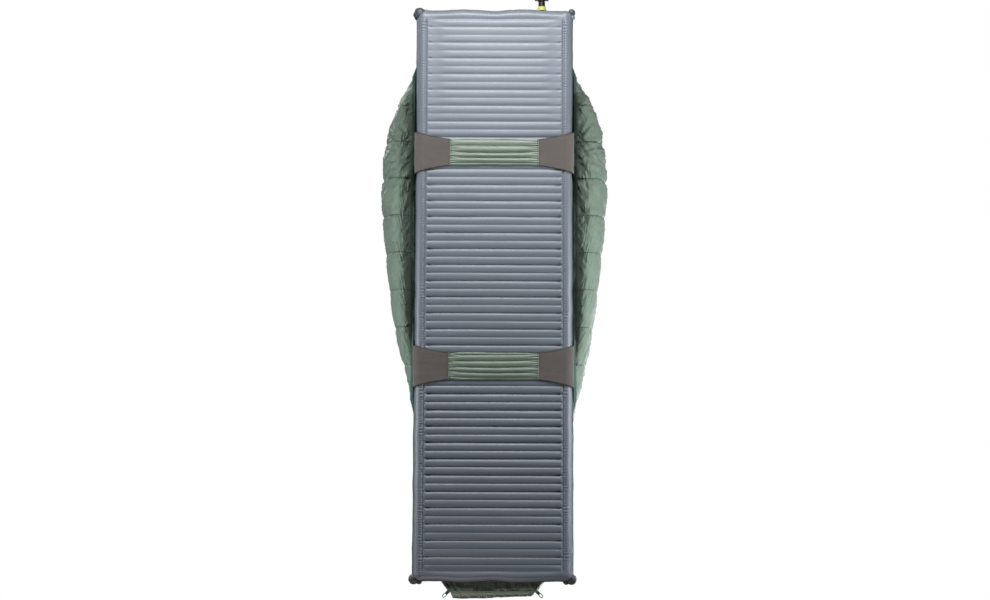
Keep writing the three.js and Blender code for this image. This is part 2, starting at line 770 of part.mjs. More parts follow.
// The twist valve. Its group's origin is on the valve's axis, at the pad's end face.
function buildValve(fixed, knob, flap) {
  const { barrelRadius, boreRadius, flangeRadius, flangeDepth, barrelLength } = VALVE;
  const inside = -PAD.skin - VALVE.flangeAir - flangeDepth;
  const flange = solidOf(cylinderAlongY(flangeRadius, inside, flangeDepth));
  const tube = solidOf(cylinderAlongY(barrelRadius, inside, barrelLength - inside));
  const bore = solidOf(cylinderAlongY(boreRadius, inside - 1, barrelLength + 40));
  const body = flange.add(tube).subtract(bore);
  addPiece(fixed, "valve_body", geometryOf(body), materials.blackPlastic);

  const ring = solidOf(cylinderAlongY(VALVE.collarRadius, GAP, VALVE.collarDepth));
  const ringBore = solidOf(cylinderAlongY(barrelRadius + GAP, -5, 20));
  const collar = geometryOf(ring.subtract(ringBore));
  addPiece(fixed, "valve_collar", collar, materials.collarPlastic);

  const seal = new THREE.TorusGeometry((boreRadius + barrelRadius) / 2, 0.8, 6, 20);
  const sealPiece = addPiece(fixed, "valve_seal_ring", seal, materials.rubber);
  sealPiece.rotation.x = Math.PI / 2;
  sealPiece.position.y = barrelLength + 1;

  const start = barrelLength + VALVE.sealAir;
  const cap = solidOf(cylinderAlongY(VALVE.knobRadius, start, VALVE.knobDepth));
  const { wingSpan, wingThickness: thick } = VALVE;
  const wing = new RoundedBoxGeometry(wingSpan, VALVE.knobDepth - 3, thick, 1, 2);
  wing.translate(0, start + VALVE.knobDepth / 2, 0);
  const vent = solidOf(cylinderAlongY(4, start - 1, VALVE.knobDepth - 4));
  const turned = cap.add(solidOf(wing)).subtract(vent);
  addPiece(knob, "valve_knob", geometryOf(turned), materials.blackPlastic);

  const seat = inside - GAP - VALVE.flapDepth;
  const disc = cylinderAlongY(VALVE.flapRadius, seat, VALVE.flapDepth);
  addPiece(flap, "valve_check_flap", disc, materials.rubber);
}

// ---- Assembly ----

const campQuilt = new THREE.Group();
const quilt = new THREE.Group();
const collar = new THREE.Group();
const pad = new THREE.Group();
campQuilt.add(quilt, collar, pad);

buildQuilt(quilt);
buildStrap(quilt, "upper");
buildStrap(quilt, "lower");
buildHangLoop(quilt, "hang_loop_left", 1);
buildHangLoop(quilt, "hang_loop_right", -1);

buildCollar(collar);
buildNeckTabs(collar, collar);
const lock = new THREE.Group();
lock.position.set(0, CORD_Y + LOCK.place, TAIL_Z);
collar.add(lock);
buildCordLock(lock);

buildPad(pad);
const valve = new THREE.Group();
valve.position.set(VALVE.x, PAD.length / 2, PAD.middle);
pad.add(valve);
buildValve(valve, valve, valve);

export default campQuilt;
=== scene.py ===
import json
import math

import bpy
import numpy as np
from mathutils import Matrix, Quaternion, Vector

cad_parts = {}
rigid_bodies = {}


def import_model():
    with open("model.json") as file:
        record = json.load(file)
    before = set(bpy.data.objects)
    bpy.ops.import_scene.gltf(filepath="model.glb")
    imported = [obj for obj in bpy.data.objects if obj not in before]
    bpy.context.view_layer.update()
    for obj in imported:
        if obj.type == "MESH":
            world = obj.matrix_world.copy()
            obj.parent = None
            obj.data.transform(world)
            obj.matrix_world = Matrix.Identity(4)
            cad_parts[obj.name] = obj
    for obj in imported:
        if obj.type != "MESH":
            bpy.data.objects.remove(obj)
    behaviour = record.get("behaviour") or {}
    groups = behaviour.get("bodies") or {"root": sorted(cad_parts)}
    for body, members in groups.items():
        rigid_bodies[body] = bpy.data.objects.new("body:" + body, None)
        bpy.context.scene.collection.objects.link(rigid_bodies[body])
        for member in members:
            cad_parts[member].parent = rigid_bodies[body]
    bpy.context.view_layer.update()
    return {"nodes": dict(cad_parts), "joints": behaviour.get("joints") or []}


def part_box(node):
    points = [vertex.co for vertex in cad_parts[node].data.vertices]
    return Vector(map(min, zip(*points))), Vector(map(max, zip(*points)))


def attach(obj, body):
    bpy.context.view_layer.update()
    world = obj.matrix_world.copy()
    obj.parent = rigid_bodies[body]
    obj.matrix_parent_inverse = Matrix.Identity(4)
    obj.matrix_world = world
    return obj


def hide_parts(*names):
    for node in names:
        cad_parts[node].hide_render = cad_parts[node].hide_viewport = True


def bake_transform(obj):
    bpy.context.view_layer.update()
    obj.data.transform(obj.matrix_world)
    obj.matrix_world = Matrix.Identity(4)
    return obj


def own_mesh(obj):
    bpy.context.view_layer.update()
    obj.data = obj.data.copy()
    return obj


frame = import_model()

MM = 0.001
TAU = 2 * math.pi


# ---- Numbers ----

def smoothstep(x, low, high):
    t = np.clip((np.asarray(x, float) - low) / (high - low), 0, 1)
    return t * t * (3 - 2 * t)


def bump(x, centre, width):
    """A smooth hill of height 1 at centre, about width across."""
    return np.exp(-(((np.asarray(x, float) - centre) / (0.5 * width)) ** 2))


def noise(x, y, seed, octaves=1):
    """Smooth random field from -1 to 1, with features about one unit across."""
    x, y = np.broadcast_arrays(np.asarray(x, float), np.asarray(y, float))
    total = np.zeros(x.shape)
    size = 64
    for octave in range(octaves):
        table = np.random.default_rng(seed + octave).uniform(-1, 1, (size, size))
        px, py = x * 2**octave, y * 2**octave
        ix, iy = np.floor(px).astype(int), np.floor(py).astype(int)
        fx, fy = smoothstep(px - ix, 0, 1), smoothstep(py - iy, 0, 1)
        low = table[ix % size, iy % size] * (1 - fx) + table[(ix + 1) % size, iy % size] * fx
        high = table[ix % size, (iy + 1) % size] * (1 - fx)
        high = high + table[(ix + 1) % size, (iy + 1) % size] * fx
        total += (low * (1 - fy) + high * fy) / 2**octave
    return total


def curve_through(places, values):
    """A smooth curve through knots, as a function. Between knots it is a Hermite cubic."""
    places, values = np.asarray(places, float), np.asarray(values, float)
    slopes = np.gradient(values, places)

    def at(place):
        p = np.clip(np.asarray(place, float), places[0], places[-1])
        i = np.clip(np.searchsorted(places, p) - 1, 0, len(places) - 2)
        span = places[i + 1] - places[i]
        s = (p - places[i]) / span
        rise = s * s * (3 - 2 * s)
        pull = s * (1 - s) ** 2 * slopes[i] + s * s * (s - 1) * slopes[i + 1]
        return values[i] + (values[i + 1] - values[i]) * rise + pull * span

    return at


def round_angles(count):
    """Even angles once round, from 0."""
    return np.linspace(0, TAU, count, endpoint=False)


# ---- Meshes ----

def link_object(name, data):
    made = bpy.data.objects.new(name, data)
    bpy.context.scene.collection.objects.link(made)
    return made


def mesh_object(name, points, faces, weave):
    """A smooth mesh. weave holds each point's place on its cloth, in metres."""
    mesh = bpy.data.meshes.new(name)
    mesh.from_pydata(points.reshape(-1, 3).tolist(), [], faces)
    flat = np.zeros((len(mesh.vertices), 3), np.float32)
    flat[:, :2] = weave.reshape(-1, 2)
    attribute = mesh.attributes.new("weave", "FLOAT_VECTOR", "POINT")
    attribute.data.foreach_set("vector", flat.ravel())
    mesh.shade_smooth()
    return link_object(name, mesh)


def grid_faces(rows, columns):
    """The quads of a grid of points numbered row by row."""
    index = np.arange(rows * columns).reshape(rows, columns)
    corners = [index[:-1, :-1], index[:-1, 1:], index[1:, 1:], index[1:, :-1]]
    return np.stack(corners, axis=-1).reshape(-1, 4)


def grid_rim(grid):
    """The outermost entries of a grid, once round."""
    return np.concatenate([grid[0, :-1], grid[:-1, -1], grid[-1, :0:-1], grid[:0:-1, 0]])


def grid_object(name, points, weave):
    """A sheet of quads from points[row, column]."""
    return mesh_object(name, points, grid_faces(*points.shape[:2]).tolist(), weave)


def loop_object(name, points, weave=None, closed=True, flip=False):
    """A tube of quads from points[ring, place], where places run round a closed loop."""
    rings, places = points.shape[:2]
    index = np.arange(rings * places).reshape(rings, places)
    after = np.roll(index, -1, axis=1)
    quads = np.stack([index[:-1], after[:-1], after[1:], index[1:]], axis=-1)
    faces = quads.reshape(-1, 4).tolist()
    if closed:
        faces += [index[0][::-1].tolist(), index[-1].tolist()]
    if flip:
        faces = [face[::-1] for face in faces]
    return mesh_object(name, points, faces, points[..., :2] if weave is None else weave)


def sheet_normals(points):
    """Unit normals of a grid of points, pointing where column x row does."""
    normal = np.cross(np.gradient(points, axis=1), np.gradient(points, axis=0))
    return normal / np.maximum(np.linalg.norm(normal, axis=-1), 1e-12)[..., None]


def slab_object(name, points, thickness, weave=None):
    """A closed slab: a grid thickened against its normals, by one thickness or one for each point."""
    rows, columns = points.shape[:2]
    count = rows * columns
    under = points - sheet_normals(points) * (thickness * np.ones((rows, columns)))[..., None]
    both = np.concatenate([points.reshape(-1, 3), under.reshape(-1, 3)])
    top = grid_faces(rows, columns)
    rim = grid_rim(np.arange(count).reshape(rows, columns))
    after = np.roll(rim, -1)
    wall = np.stack([after, rim, rim + count, after + count], axis=-1)
    faces = np.concatenate([top, top[:, ::-1] + count, wall]).tolist()
    cloth = points[..., :2] if weave is None else weave
    return mesh_object(name, both, faces, np.concatenate([cloth.reshape(-1, 2)] * 2))


def square_directions(path):
    """Two unit directions square to a path of points and to each other."""
    tangent = np.gradient(path, axis=0)
    tangent /= np.linalg.norm(tangent, axis=1)[:, None]
    side = np.zeros_like(path)
    steep = abs(tangent[0][2]) >= 0.9
    guess = np.array([1.0, 0.0, 0.0]) if steep else np.array([0.0, 0.0, 1.0])
    for i, t in enumerate(tangent):
        guess = guess - t * (guess @ t)
        guess /= np.linalg.norm(guess)
        side[i] = guess
    return side, np.cross(tangent, side)


def resample(path, step):
    """A path in even steps of about one length. Returns its points and their lengths along it."""
    path = np.asarray(path, float)
    length = np.concatenate([[0], np.cumsum(np.linalg.norm(np.diff(path, axis=0), axis=1))])
    count = max(3, int(round(length[-1] / step)) + 1)
    even = np.linspace(0, length[-1], count)
    return np.stack([np.interp(even, length, path[:, k]) for k in range(3)], axis=-1), even


def cord_object(name, path, radius, step=0.0015, sides=14, lobes=4, twist=0.012):
    """A laid cord: its section has lobes that twist along it."""
    points, along = resample(path, step)
    side, up = square_directions(points)
    angle = round_angles(sides)
    turn = angle[None, :] - TAU * along[:, None] / twist
    reach = radius * (0.93 + 0.09 * np.abs(np.cos(lobes / 2 * turn)))
    ring = np.cos(angle)[None, :, None] * side[:, None] + np.sin(angle)[None, :, None] * up[:, None]
    weave = np.stack(np.broadcast_arrays(angle[None, :] * radius, along[:, None]), axis=-1)
    return loop_object(name, points[:, None] + ring * reach[..., None], weave, flip=True)


BEAD = ((0.0, 0.35), (0.15, 0.9), (0.5, 1.0), (0.85, 0.9), (1.0, 0.35))  # share of a stitch, size there
BEAD_SIDES = 6


def stitches(name, starts, ends, radius):
    """One short rounded bead of thread for each stitch."""
    starts, ends = np.asarray(starts, float), np.asarray(ends, float)
    run = ends - starts
    along = run / np.linalg.norm(run, axis=1)[:, None]
    helper = np.where(np.abs(along[:, 2:3]) < 0.8, [[0.0, 0.0, 1.0]], [[1.0, 0.0, 0.0]])
    side = np.cross(along, helper)
    side /= np.linalg.norm(side, axis=1)[:, None]
    up = np.cross(along, side)
    points = []
    for share, size in BEAD:
        for a in np.arange(BEAD_SIDES) * math.pi / (BEAD_SIDES / 2):
            out = side * math.cos(a) + up * math.sin(a)
            points.append(starts + run * share + out * radius * size)
    points = np.stack(points, axis=1)
    faces = []
    to_last = (len(BEAD) - 1) * BEAD_SIDES
    for stitch in range(len(starts)):
        first = stitch * len(BEAD) * BEAD_SIDES
        for ring in range(first, first + to_last, BEAD_SIDES):
            for k in range(BEAD_SIDES):
                a, b = ring + k, ring + (k + 1) % BEAD_SIDES
                faces.append([a, b, b + BEAD_SIDES, a + BEAD_SIDES])
        faces.append([first + k for k in range(BEAD_SIDES - 1, -1, -1)])
        faces.append([first + to_last + k for k in range(BEAD_SIDES)])
    return mesh_object(name, points, faces, points[..., :2])


def read_vectors(items, key):
    """One vector for each of a mesh's vertices or an attribute's entries."""
    flat = np.zeros(len(items) * 3, np.float32)
    items.foreach_get(key, flat)
    return flat.reshape(-1, 3).astype(float)


def mesh_points(piece):
    return read_vectors(piece.data.vertices, "co")


def weave_of(piece):
    return read_vectors(piece.data.attributes["weave"].data, "vector")[:, :2]


def set_mesh_points(piece, points):
    piece.data.vertices.foreach_set("co", points.astype(np.float32).ravel())
    piece.data.update()


def displace(piece, offsets):
    """Moves each point along its normal."""
    normals = read_vectors(piece.data.vertices, "normal")
    set_mesh_points(piece, mesh_points(piece) + normals * np.asarray(offsets)[:, None])


def apply_modifiers(piece):
    graph = bpy.context.evaluated_depsgraph_get()
    mesh = bpy.data.meshes.new_from_object(piece.evaluated_get(graph))
    piece.modifiers.clear()
    piece.data = mesh


def subdivide(piece):
    smooth = piece.modifiers.new("smooth", "SUBSURF")
    smooth.levels = smooth.render_levels = 1
    apply_modifiers(piece)


def side_name(side):
    return "left" if side > 0 else "right"


# ---- The quilt's surface, worked out from the CAD ----

class Quilt:
    """Half width and crest height along the length, and the sections they give."""

    CLEAR = 8 * MM  # each down fill lies this far inside the shell
    TUCK = 12 * MM  # the hem lies at least this far in from the widest line
    DROOP = 58 * MM  # sag of the lower side where the quilt is widest
    WIDEST = 0.36  # height of the widest line, as a share of the crest's height over the hem
    UPPER = 2 / 3  # share of half a section that lies over the widest line
    FULLNESS = 0.9  # under 1, so fuller than an ellipse
    DRAW_IN = 19 * MM  # how far the sides come in near the head
    NO_SAG_INSET = 0.06  # a section this far in has no sag
    OUTSIDE_OF_HEM = 5.4 * MM

    def __init__(self):
        fills = [f"down_fill_{i:02d}" for i in range(13, 0, -1)]
        fills += ["collar_fill_lower", "collar_fill_upper"]
        boxes = [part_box(name) for name in fills]
        foot_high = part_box("foot_end_cover")[1]
        rim_low, rim_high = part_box("neck_rim_binding")
        hem_low, hem_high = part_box("hem_binding_left")
        self.foot = foot_high.y
        self.head = rim_low.y
        self.hem_out = hem_high.x + self.OUTSIDE_OF_HEM
        self.hem = hem_low.z
        places = [self.foot] + [(low.y + high.y) / 2 for low, high in boxes] + [self.head]
        widths = [foot_high.x] + [high.x + self.CLEAR for _, high in boxes] + [rim_high.x]
        crests = [foot_high.z] + [high.z + self.CLEAR for _, high in boxes] + [rim_high.z]
        self.full_width = curve_through(places, widths)
        self.crest = curve_through(places, crests)
        ends = [(a[1].y + b[0].y) / 2 for a, b in zip(boxes, boxes[1:])]
        self.seams = [self.foot] + ends + [self.head]

    def half_width(self, y):
        """Half the quilt's width, drawn in a little near the head."""
        drawn = self.DRAW_IN * smoothstep(y, 0.62, 0.72) * (1 - smoothstep(y, 0.76, 0.84))
        return self.full_width(y) - drawn

    def hem_x(self, y):
        return np.minimum(self.hem_out, self.half_width(y) - self.TUCK)

    def section(self, across, y, inset=0.0):
        """Points at y and across: -1 at one hem, 0 at the crest and 1 at the other hem."""
        across, y = np.broadcast_arrays(np.asarray(across, float), np.asarray(y, float))
        width = self.half_width(y) - inset
        crest = self.crest(y) - inset
        widest = self.hem + self.WIDEST * (self.crest(y) - self.hem)
        share = np.abs(across)
        side = np.where(across < 0, -1.0, 1.0)
        up = np.pi / 2 * np.clip(1 - share / self.UPPER, 0, 1)
        x_up = width * np.cos(up) ** self.FULLNESS
        z_up = widest + (crest - widest) * np.sin(up) ** self.FULLNESS
        down = np.pi / 2 * np.clip((share - self.UPPER) / (1 - self.UPPER), 0, 1)
        hem_x = self.hem_x(y)
        sag = self.DROOP * smoothstep(self.half_width(y), 0.285, 0.34)
        sag = sag * np.sin(2 * down) * (1 - inset / self.NO_SAG_INSET)
        x_down = hem_x + (width - hem_x) * np.cos(down)
        z_down = widest - (widest - self.hem) * np.sin(down) - sag
        lower = share > self.UPPER
        x = np.where(lower, x_down, x_up)
        z = np.where(lower, z_down, z_up)
        return np.stack([side * x, y, z], axis=-1)

    def even_section(self, columns, y, inset=0.0):
        """One section in equal steps of length. Returns points and lengths from the crest."""
        fine = self.section(np.linspace(-1, 1, 1201), y, inset)
        steps = np.linalg.norm(np.diff(fine, axis=0), axis=1)
        length = np.concatenate([[0], np.cumsum(steps)])
        even = np.linspace(0, length[-1], columns)
        points = np.stack([np.interp(even, length, fine[:, k]) for k in range(3)], axis=-1)
        return points, even - length[-1] / 2


quilt = Quilt()
SHELL_INSET = 10 * MM  # the seams lie this far inside the puffed chambers
LINER_INSET = 31 * MM
CHAMBER_ROWS = 16
FOOT_CHAMBERS = 4  # chambers closed by the footbox floor
CROSS_SEAMS = (quilt.seams[1], quilt.seams[2] - quilt.seams[1])  # one seam's place, and their distance


def chamber_rows(seams):
    """Places along the quilt: every seam, with even steps between them."""
    ys = [seams[0]]
    for low, high in zip(seams, seams[1:]):
        ys += list(np.linspace(low, high, CHAMBER_ROWS + 1)[1:])
    return np.array(ys)


def chamber_share(rows):
    """Place of each row inside its chamber, from 0 to 1."""
    return (np.arange(rows) % CHAMBER_ROWS) / CHAMBER_ROWS


def quilt_grid(columns, inset):
    """Even sections over all chambers. Returns points, cloth coordinates and places along."""
    ys = chamber_rows(quilt.seams)
    points, weave = [], []
    for y in ys:
        section, along = quilt.even_section(columns, y, inset)
        points.append(section)
        weave.append(np.stack([along, np.full(columns, y)], axis=-1))
    return np.array(points), np.array(weave), ys


PRESSURE = 3.0
EXTRA_CLOTH = 0.07  # the cloth is this share larger than its sheet
FRAMES = 16
FURTHEST = 30 * MM  # no point moves further than this


def simulate(piece, pins):
    """Inflates a sheet whose pinned points stay put, then applies the result."""
    rest = mesh_points(piece)
    group = piece.vertex_groups.new(name="pins")
    group.add(np.nonzero(pins)[0].tolist(), 1.0, "REPLACE")
    cloth = piece.modifiers.new("cloth", "CLOTH")
    s = cloth.settings
    s.quality = 4
    s.mass = 0.12
    s.air_damping = 4
    s.tension_stiffness = s.compression_stiffness = 12
    s.shear_stiffness = 4
    s.bending_stiffness = 0.06
    s.tension_damping = s.compression_damping = s.shear_damping = 6
    s.bending_damping = 0.5
    s.vertex_group_mass = group.name
    s.shrink_min = s.shrink_max = -EXTRA_CLOTH
    s.use_pressure = True
    s.uniform_pressure_force = PRESSURE
    s.effector_weights.gravity = 0
    cloth.collision_settings.use_collision = False
    cloth.point_cache.frame_start, cloth.point_cache.frame_end = 1, FRAMES
    scene = bpy.context.scene
    scene.frame_start, scene.frame_end = 1, FRAMES
    for number in range(1, FRAMES + 1):
        scene.frame_set(number)
    apply_modifiers(piece)
    moved = mesh_points(piece) - rest
    far = np.linalg.norm(moved, axis=1)
    limit = np.minimum(1, FURTHEST / np.maximum(far, 1e-9))
    set_mesh_points(piece, rest + moved * limit[:, None])
    piece.vertex_groups.clear()
    scene.frame_set(1)


# ---- Materials ----

class Look:
    """A node material. Inputs of its nodes may be sockets or plain numbers."""

    def __init__(self, name, roughness, **inputs):
        self.material = bpy.data.materials.new(name)
        self.material.use_nodes = True
        self.tree = self.material.node_tree
        self.surface = self.tree.nodes["Principled BSDF"]
        self.surface.inputs["Roughness"].default_value = roughness
        for key, value in inputs.items():
            self.surface.inputs[key.replace("_", " ")].default_value = value

    def node(self, kind, *inputs, **settings):
        node = self.tree.nodes.new("ShaderNode" + kind)
        for key, value in settings.items():
            if key in node.inputs:
                self.feed(node.inputs[key], value)
            else:
                setattr(node, key, value)
        for place, value in enumerate(inputs):
            self.feed(node.inputs[place], value)
        return node

    def feed(self, socket, value):
        if isinstance(value, bpy.types.NodeSocket):
            self.tree.links.new(value, socket)
        else:
            socket.default_value = value

    def math(self, operation, *values):
        return self.node("Math", *values, operation=operation).outputs[0]

    def add(self, a, b):
        return self.math("ADD", a, b)

    def times(self, a, b):
        return self.math("MULTIPLY", a, b)

    def ridge(self, height):
        """Turns the middle of a field from 0 to 1 into a sharp valley."""
        return self.math("ABSOLUTE", self.math("SUBTRACT", height, 0.5))

    def waves(self, coordinate, pitch):
        return self.math("SINE", self.times(coordinate, TAU / pitch))

    def cloth_coordinates(self):
        """Sockets of the cloth's own coordinates, in metres: both, across and along."""
        vector = self.node("Attribute", attribute_name="weave").outputs["Vector"]
        parts = self.node("SeparateXYZ", vector)
        return vector, parts.outputs[0], parts.outputs[1]

    def speckle(self, vector, scale, detail=3.0):
        return self.node("TexNoise", Vector=vector, Scale=scale, Detail=detail).outputs["Fac"]

    def turned(self, vector, turn, stretch):
        """The cloth's coordinates turned, and stretched along."""
        mapping = self.node("Mapping", Vector=vector, Rotation=(0, 0, turn), Scale=(1.0, stretch, 1.0))
        return mapping.outputs[0]

    def lines(self, coordinate, pitch, width):
        """1 on thin lines one pitch apart."""
        place = self.math("PINGPONG", coordinate, pitch / 2)
        return self.math("LESS_THAN", place, width / 2)

    def mix(self, factor, low, high):
        node = self.node("Mix", data_type="RGBA")
        self.feed(node.inputs["Factor"], factor)
        self.feed(node.inputs["A"], low)
        self.feed(node.inputs["B"], high)
        return node.outputs["Result"]

    def colour(self, socket):
        self.feed(self.surface.inputs["Base Color"], socket)

    def vary_roughness(self, field, spread, least):
        rough = self.math("MULTIPLY_ADD", field, spread, least)
        self.feed(self.surface.inputs["Roughness"], rough)

    def bump(self, height, distance):
        node = self.node("Bump", Height=height, Distance=distance, Strength=1.0)
        self.feed(self.surface.inputs["Normal"], node.outputs[0])
        return node


def shade(rgb, factor=1.0):
    """A linear colour from 0..255 display values."""
    value = (np.array(rgb) / 255.0) ** 2.2 * factor
    return (*[float(v) for v in value], 1.0)


RIPSTOP_LINE = 0.00045  # metres, as are the next two
SEAM_THREAD_AND_SHADE = 0.0013  # half the width of the dark line along a seam: its stitch thread, and painted shade of the seam's valley
SEAM_FOLDS = 0.059  # folds fade out this far from a seam


def woven(name, rgb, roughness, pitch, ripstop=0.0, mottle=0.12, depth=0.12, crumple=0.0,
          seams=None, **inputs):
    """A woven cloth: threads, slow colour changes and, if asked, a ripstop grid and fine creases.

    seams is the place of one cross seam and the distance between them: each is a dark line, part stitch
    thread and part painted shade of its valley, with puckers.
    """
    look = Look(name, roughness, **inputs)
    vector, across, along = look.cloth_coordinates()
    threads = look.times(look.waves(across, pitch), look.waves(along, pitch))
    slow = look.speckle(vector, 9.0)
    fine = look.speckle(vector, 90.0, 6.0)
    tone = look.add(look.times(slow, 0.7), look.times(fine, 0.3))
    tone = look.add(tone, look.times(threads, 0.05))
    height = look.add(look.times(threads, 0.35), look.times(fine, 1.2))
    if ripstop:
        lines = [look.lines(way, ripstop, RIPSTOP_LINE) for way in (across, along)]
        grid = look.math("MAXIMUM", *lines)
        tone = look.add(tone, look.times(grid, 0.12))
        height = look.add(height, look.times(grid, 0.9))
    cloth = look.mix(tone, shade(rgb, 1 - 2 * mottle), shade(rgb, 1 + 2 * mottle))
    if seams:
        apart = look.math("PINGPONG", look.math("SUBTRACT", along, seams[0]), seams[1] / 2)
        # painted shade: the colour darkens along each seam, for its thread and for the shade in the seam's
        # valley
        line = look.math("LESS_THAN", apart, SEAM_THREAD_AND_SHADE)
        cloth = look.mix(look.times(line, 0.7), cloth, shade(rgb, 0.12))
    look.colour(cloth)
    look.vary_roughness(fine, 0.16, roughness - 0.08)
    weave = look.bump(height, depth * MM)
    if crumple:
        sharp = look.ridge(look.speckle(look.turned(vector, 0.35, 0.28), 62.0, 2.0))
        if seams:
            folds = look.ridge(look.speckle(look.turned(vector, 0.25, 0.13), 105.0, 1.0))
            near = look.node("MapRange", apart, 0.0, SEAM_FOLDS, 5.5, 1.2).outputs[0]
            sharp = look.math("MULTIPLY_ADD", folds, near, sharp)
        creased = look.node("Bump", Height=sharp, Distance=crumple * MM, Strength=1.0)
        look.feed(weave.inputs["Normal"], creased.outputs[0])
    return look.material


def moulded(name, rgb, roughness, grain=0.05):
    """Moulded plastic or rubber with a fine grain, worn a little lighter."""
    look = Look(name, roughness)
    place = look.node("TexCoord").outputs["Object"]
    grains = look.speckle(place, 900.0, 4.0)
    wear = look.speckle(place, 60.0)
    look.colour(look.mix(wear, shade(rgb, 0.8), shade(rgb, 1.25)))
    look.vary_roughness(wear, 0.2, roughness - 0.1)
    look.bump(grains, grain * MM)
    return look.material


def knit(name, rgb, roughness):
    """A smooth stretch knit: fine wales, with a soft fuzz at grazing angles."""
    look = Look(name, roughness, Sheen_Weight=0.35, Sheen_Roughness=0.4)
    vector, across, along = look.cloth_coordinates()
    wales = look.waves(along, 0.0011)
    rows = look.waves(across, 0.0009)
    loops = look.add(wales, look.times(rows, 0.5))
    slow = look.speckle(vector, 14.0)
    tone = look.add(slow, look.times(loops, 0.06))
    look.colour(look.mix(tone, shade(rgb, 0.78), shade(rgb, 1.22)))
    look.bump(loops, 0.12 * MM)
    return look.material


def steel(name):
    look = Look(name, 0.28, Metallic=1.0)
    place = look.node("TexCoord").outputs["Object"]
    smear = look.speckle(place, 400.0)
    look.colour(look.mix(smear, shade((150, 152, 156)), shade((205, 206, 208))))
    look.vary_roughness(smear, 0.2, 0.18)
    return look.material


RIPSTOP = {"pitch": 0.0007, "ripstop": 0.0052}
SHELL = woven("shell_ripstop", (90, 104, 94), 0.5, **RIPSTOP, crumple=2.8, seams=CROSS_SEAMS,
              Sheen_Weight=0.1, Specular_IOR_Level=0.3)
FOOT = woven("foot_ripstop", (78, 88, 74), 0.26, **RIPSTOP, Sheen_Weight=0.1)
FLOOR = woven("foot_floor_ripstop", (80, 91, 78), 0.3, **RIPSTOP, crumple=1.6, seams=CROSS_SEAMS,
              Sheen_Weight=0.1)
SLEEVE = woven("sleeve_ripstop", (92, 107, 95), 0.33, **RIPSTOP, mottle=0.1, Sheen_Weight=0.15)
LINER = woven("liner_taffeta", (78, 96, 86), 0.5, 0.0006, mottle=0.1, crumple=3.0, Sheen_Weight=0.15)
BINDING = woven("hem_binding_tape", (66, 88, 82), 0.6, 0.0011, depth=0.2)
STRETCH = knit("stretch_knit", (82, 78, 75), 0.8)
STRETCH_EDGE = woven("stretch_edge_tape", (50, 45, 43), 0.75, 0.0009, depth=0.25)
PAD_BOTTOM = woven("pad_bottom_satin", (96, 104, 115), 0.43, 0.0006, mottle=0.05, depth=0.06,
                   Sheen_Weight=0.1)
PAD_TOP = woven("pad_top_charcoal", (54, 57, 64), 0.5, 0.0008, mottle=0.1, depth=0.1, Sheen_Weight=0.1)
CORD = woven("braided_cord", (44, 100, 62), 0.65, 0.0012, depth=0.3)
THREAD = woven("sewing_thread", (86, 104, 92), 0.7, 0.0005, depth=0.1)
DARK_THREAD = woven("dark_sewing_thread", (44, 50, 48), 0.7, 0.0005, depth=0.1)
BLACK = moulded("black_plastic", (27, 28, 30), 0.38)
LIME = moulded("lime_plastic", (150, 158, 82), 0.5)
RUBBER = moulded("seal_rubber", (34, 35, 37), 0.75, grain=0.1)
STEEL = steel("spring_steel")


def place_piece(piece, body, material, replaces=()):
    """Gives a finished piece its material, its body and the CAD nodes it stands for.

    A piece that bends has no body here: across_fold only bakes its placement into its points.
    """
    piece.data.materials.clear()
    piece.data.materials.append(material)
    if body:
        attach(piece, body)
    if replaces:
        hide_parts(*replaces)


def across_fold(piece):
    """Bakes the piece's placement into its points."""
    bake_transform(piece)


def keep_node(name, material, bevel=0.25 * MM):
    """A small moulded CAD part stays, with rounded edges and a finished material."""
    node = frame["nodes"][name]
    for index in range(len(node.data.materials)):
        node.material_slots[index].material = material
    edge = node.modifiers.new("edge", "BEVEL")
    edge.width, edge.segments, edge.limit_method = bevel, 3, "ANGLE"
    edge.angle_limit = math.radians(50)


# ---- The pad ----

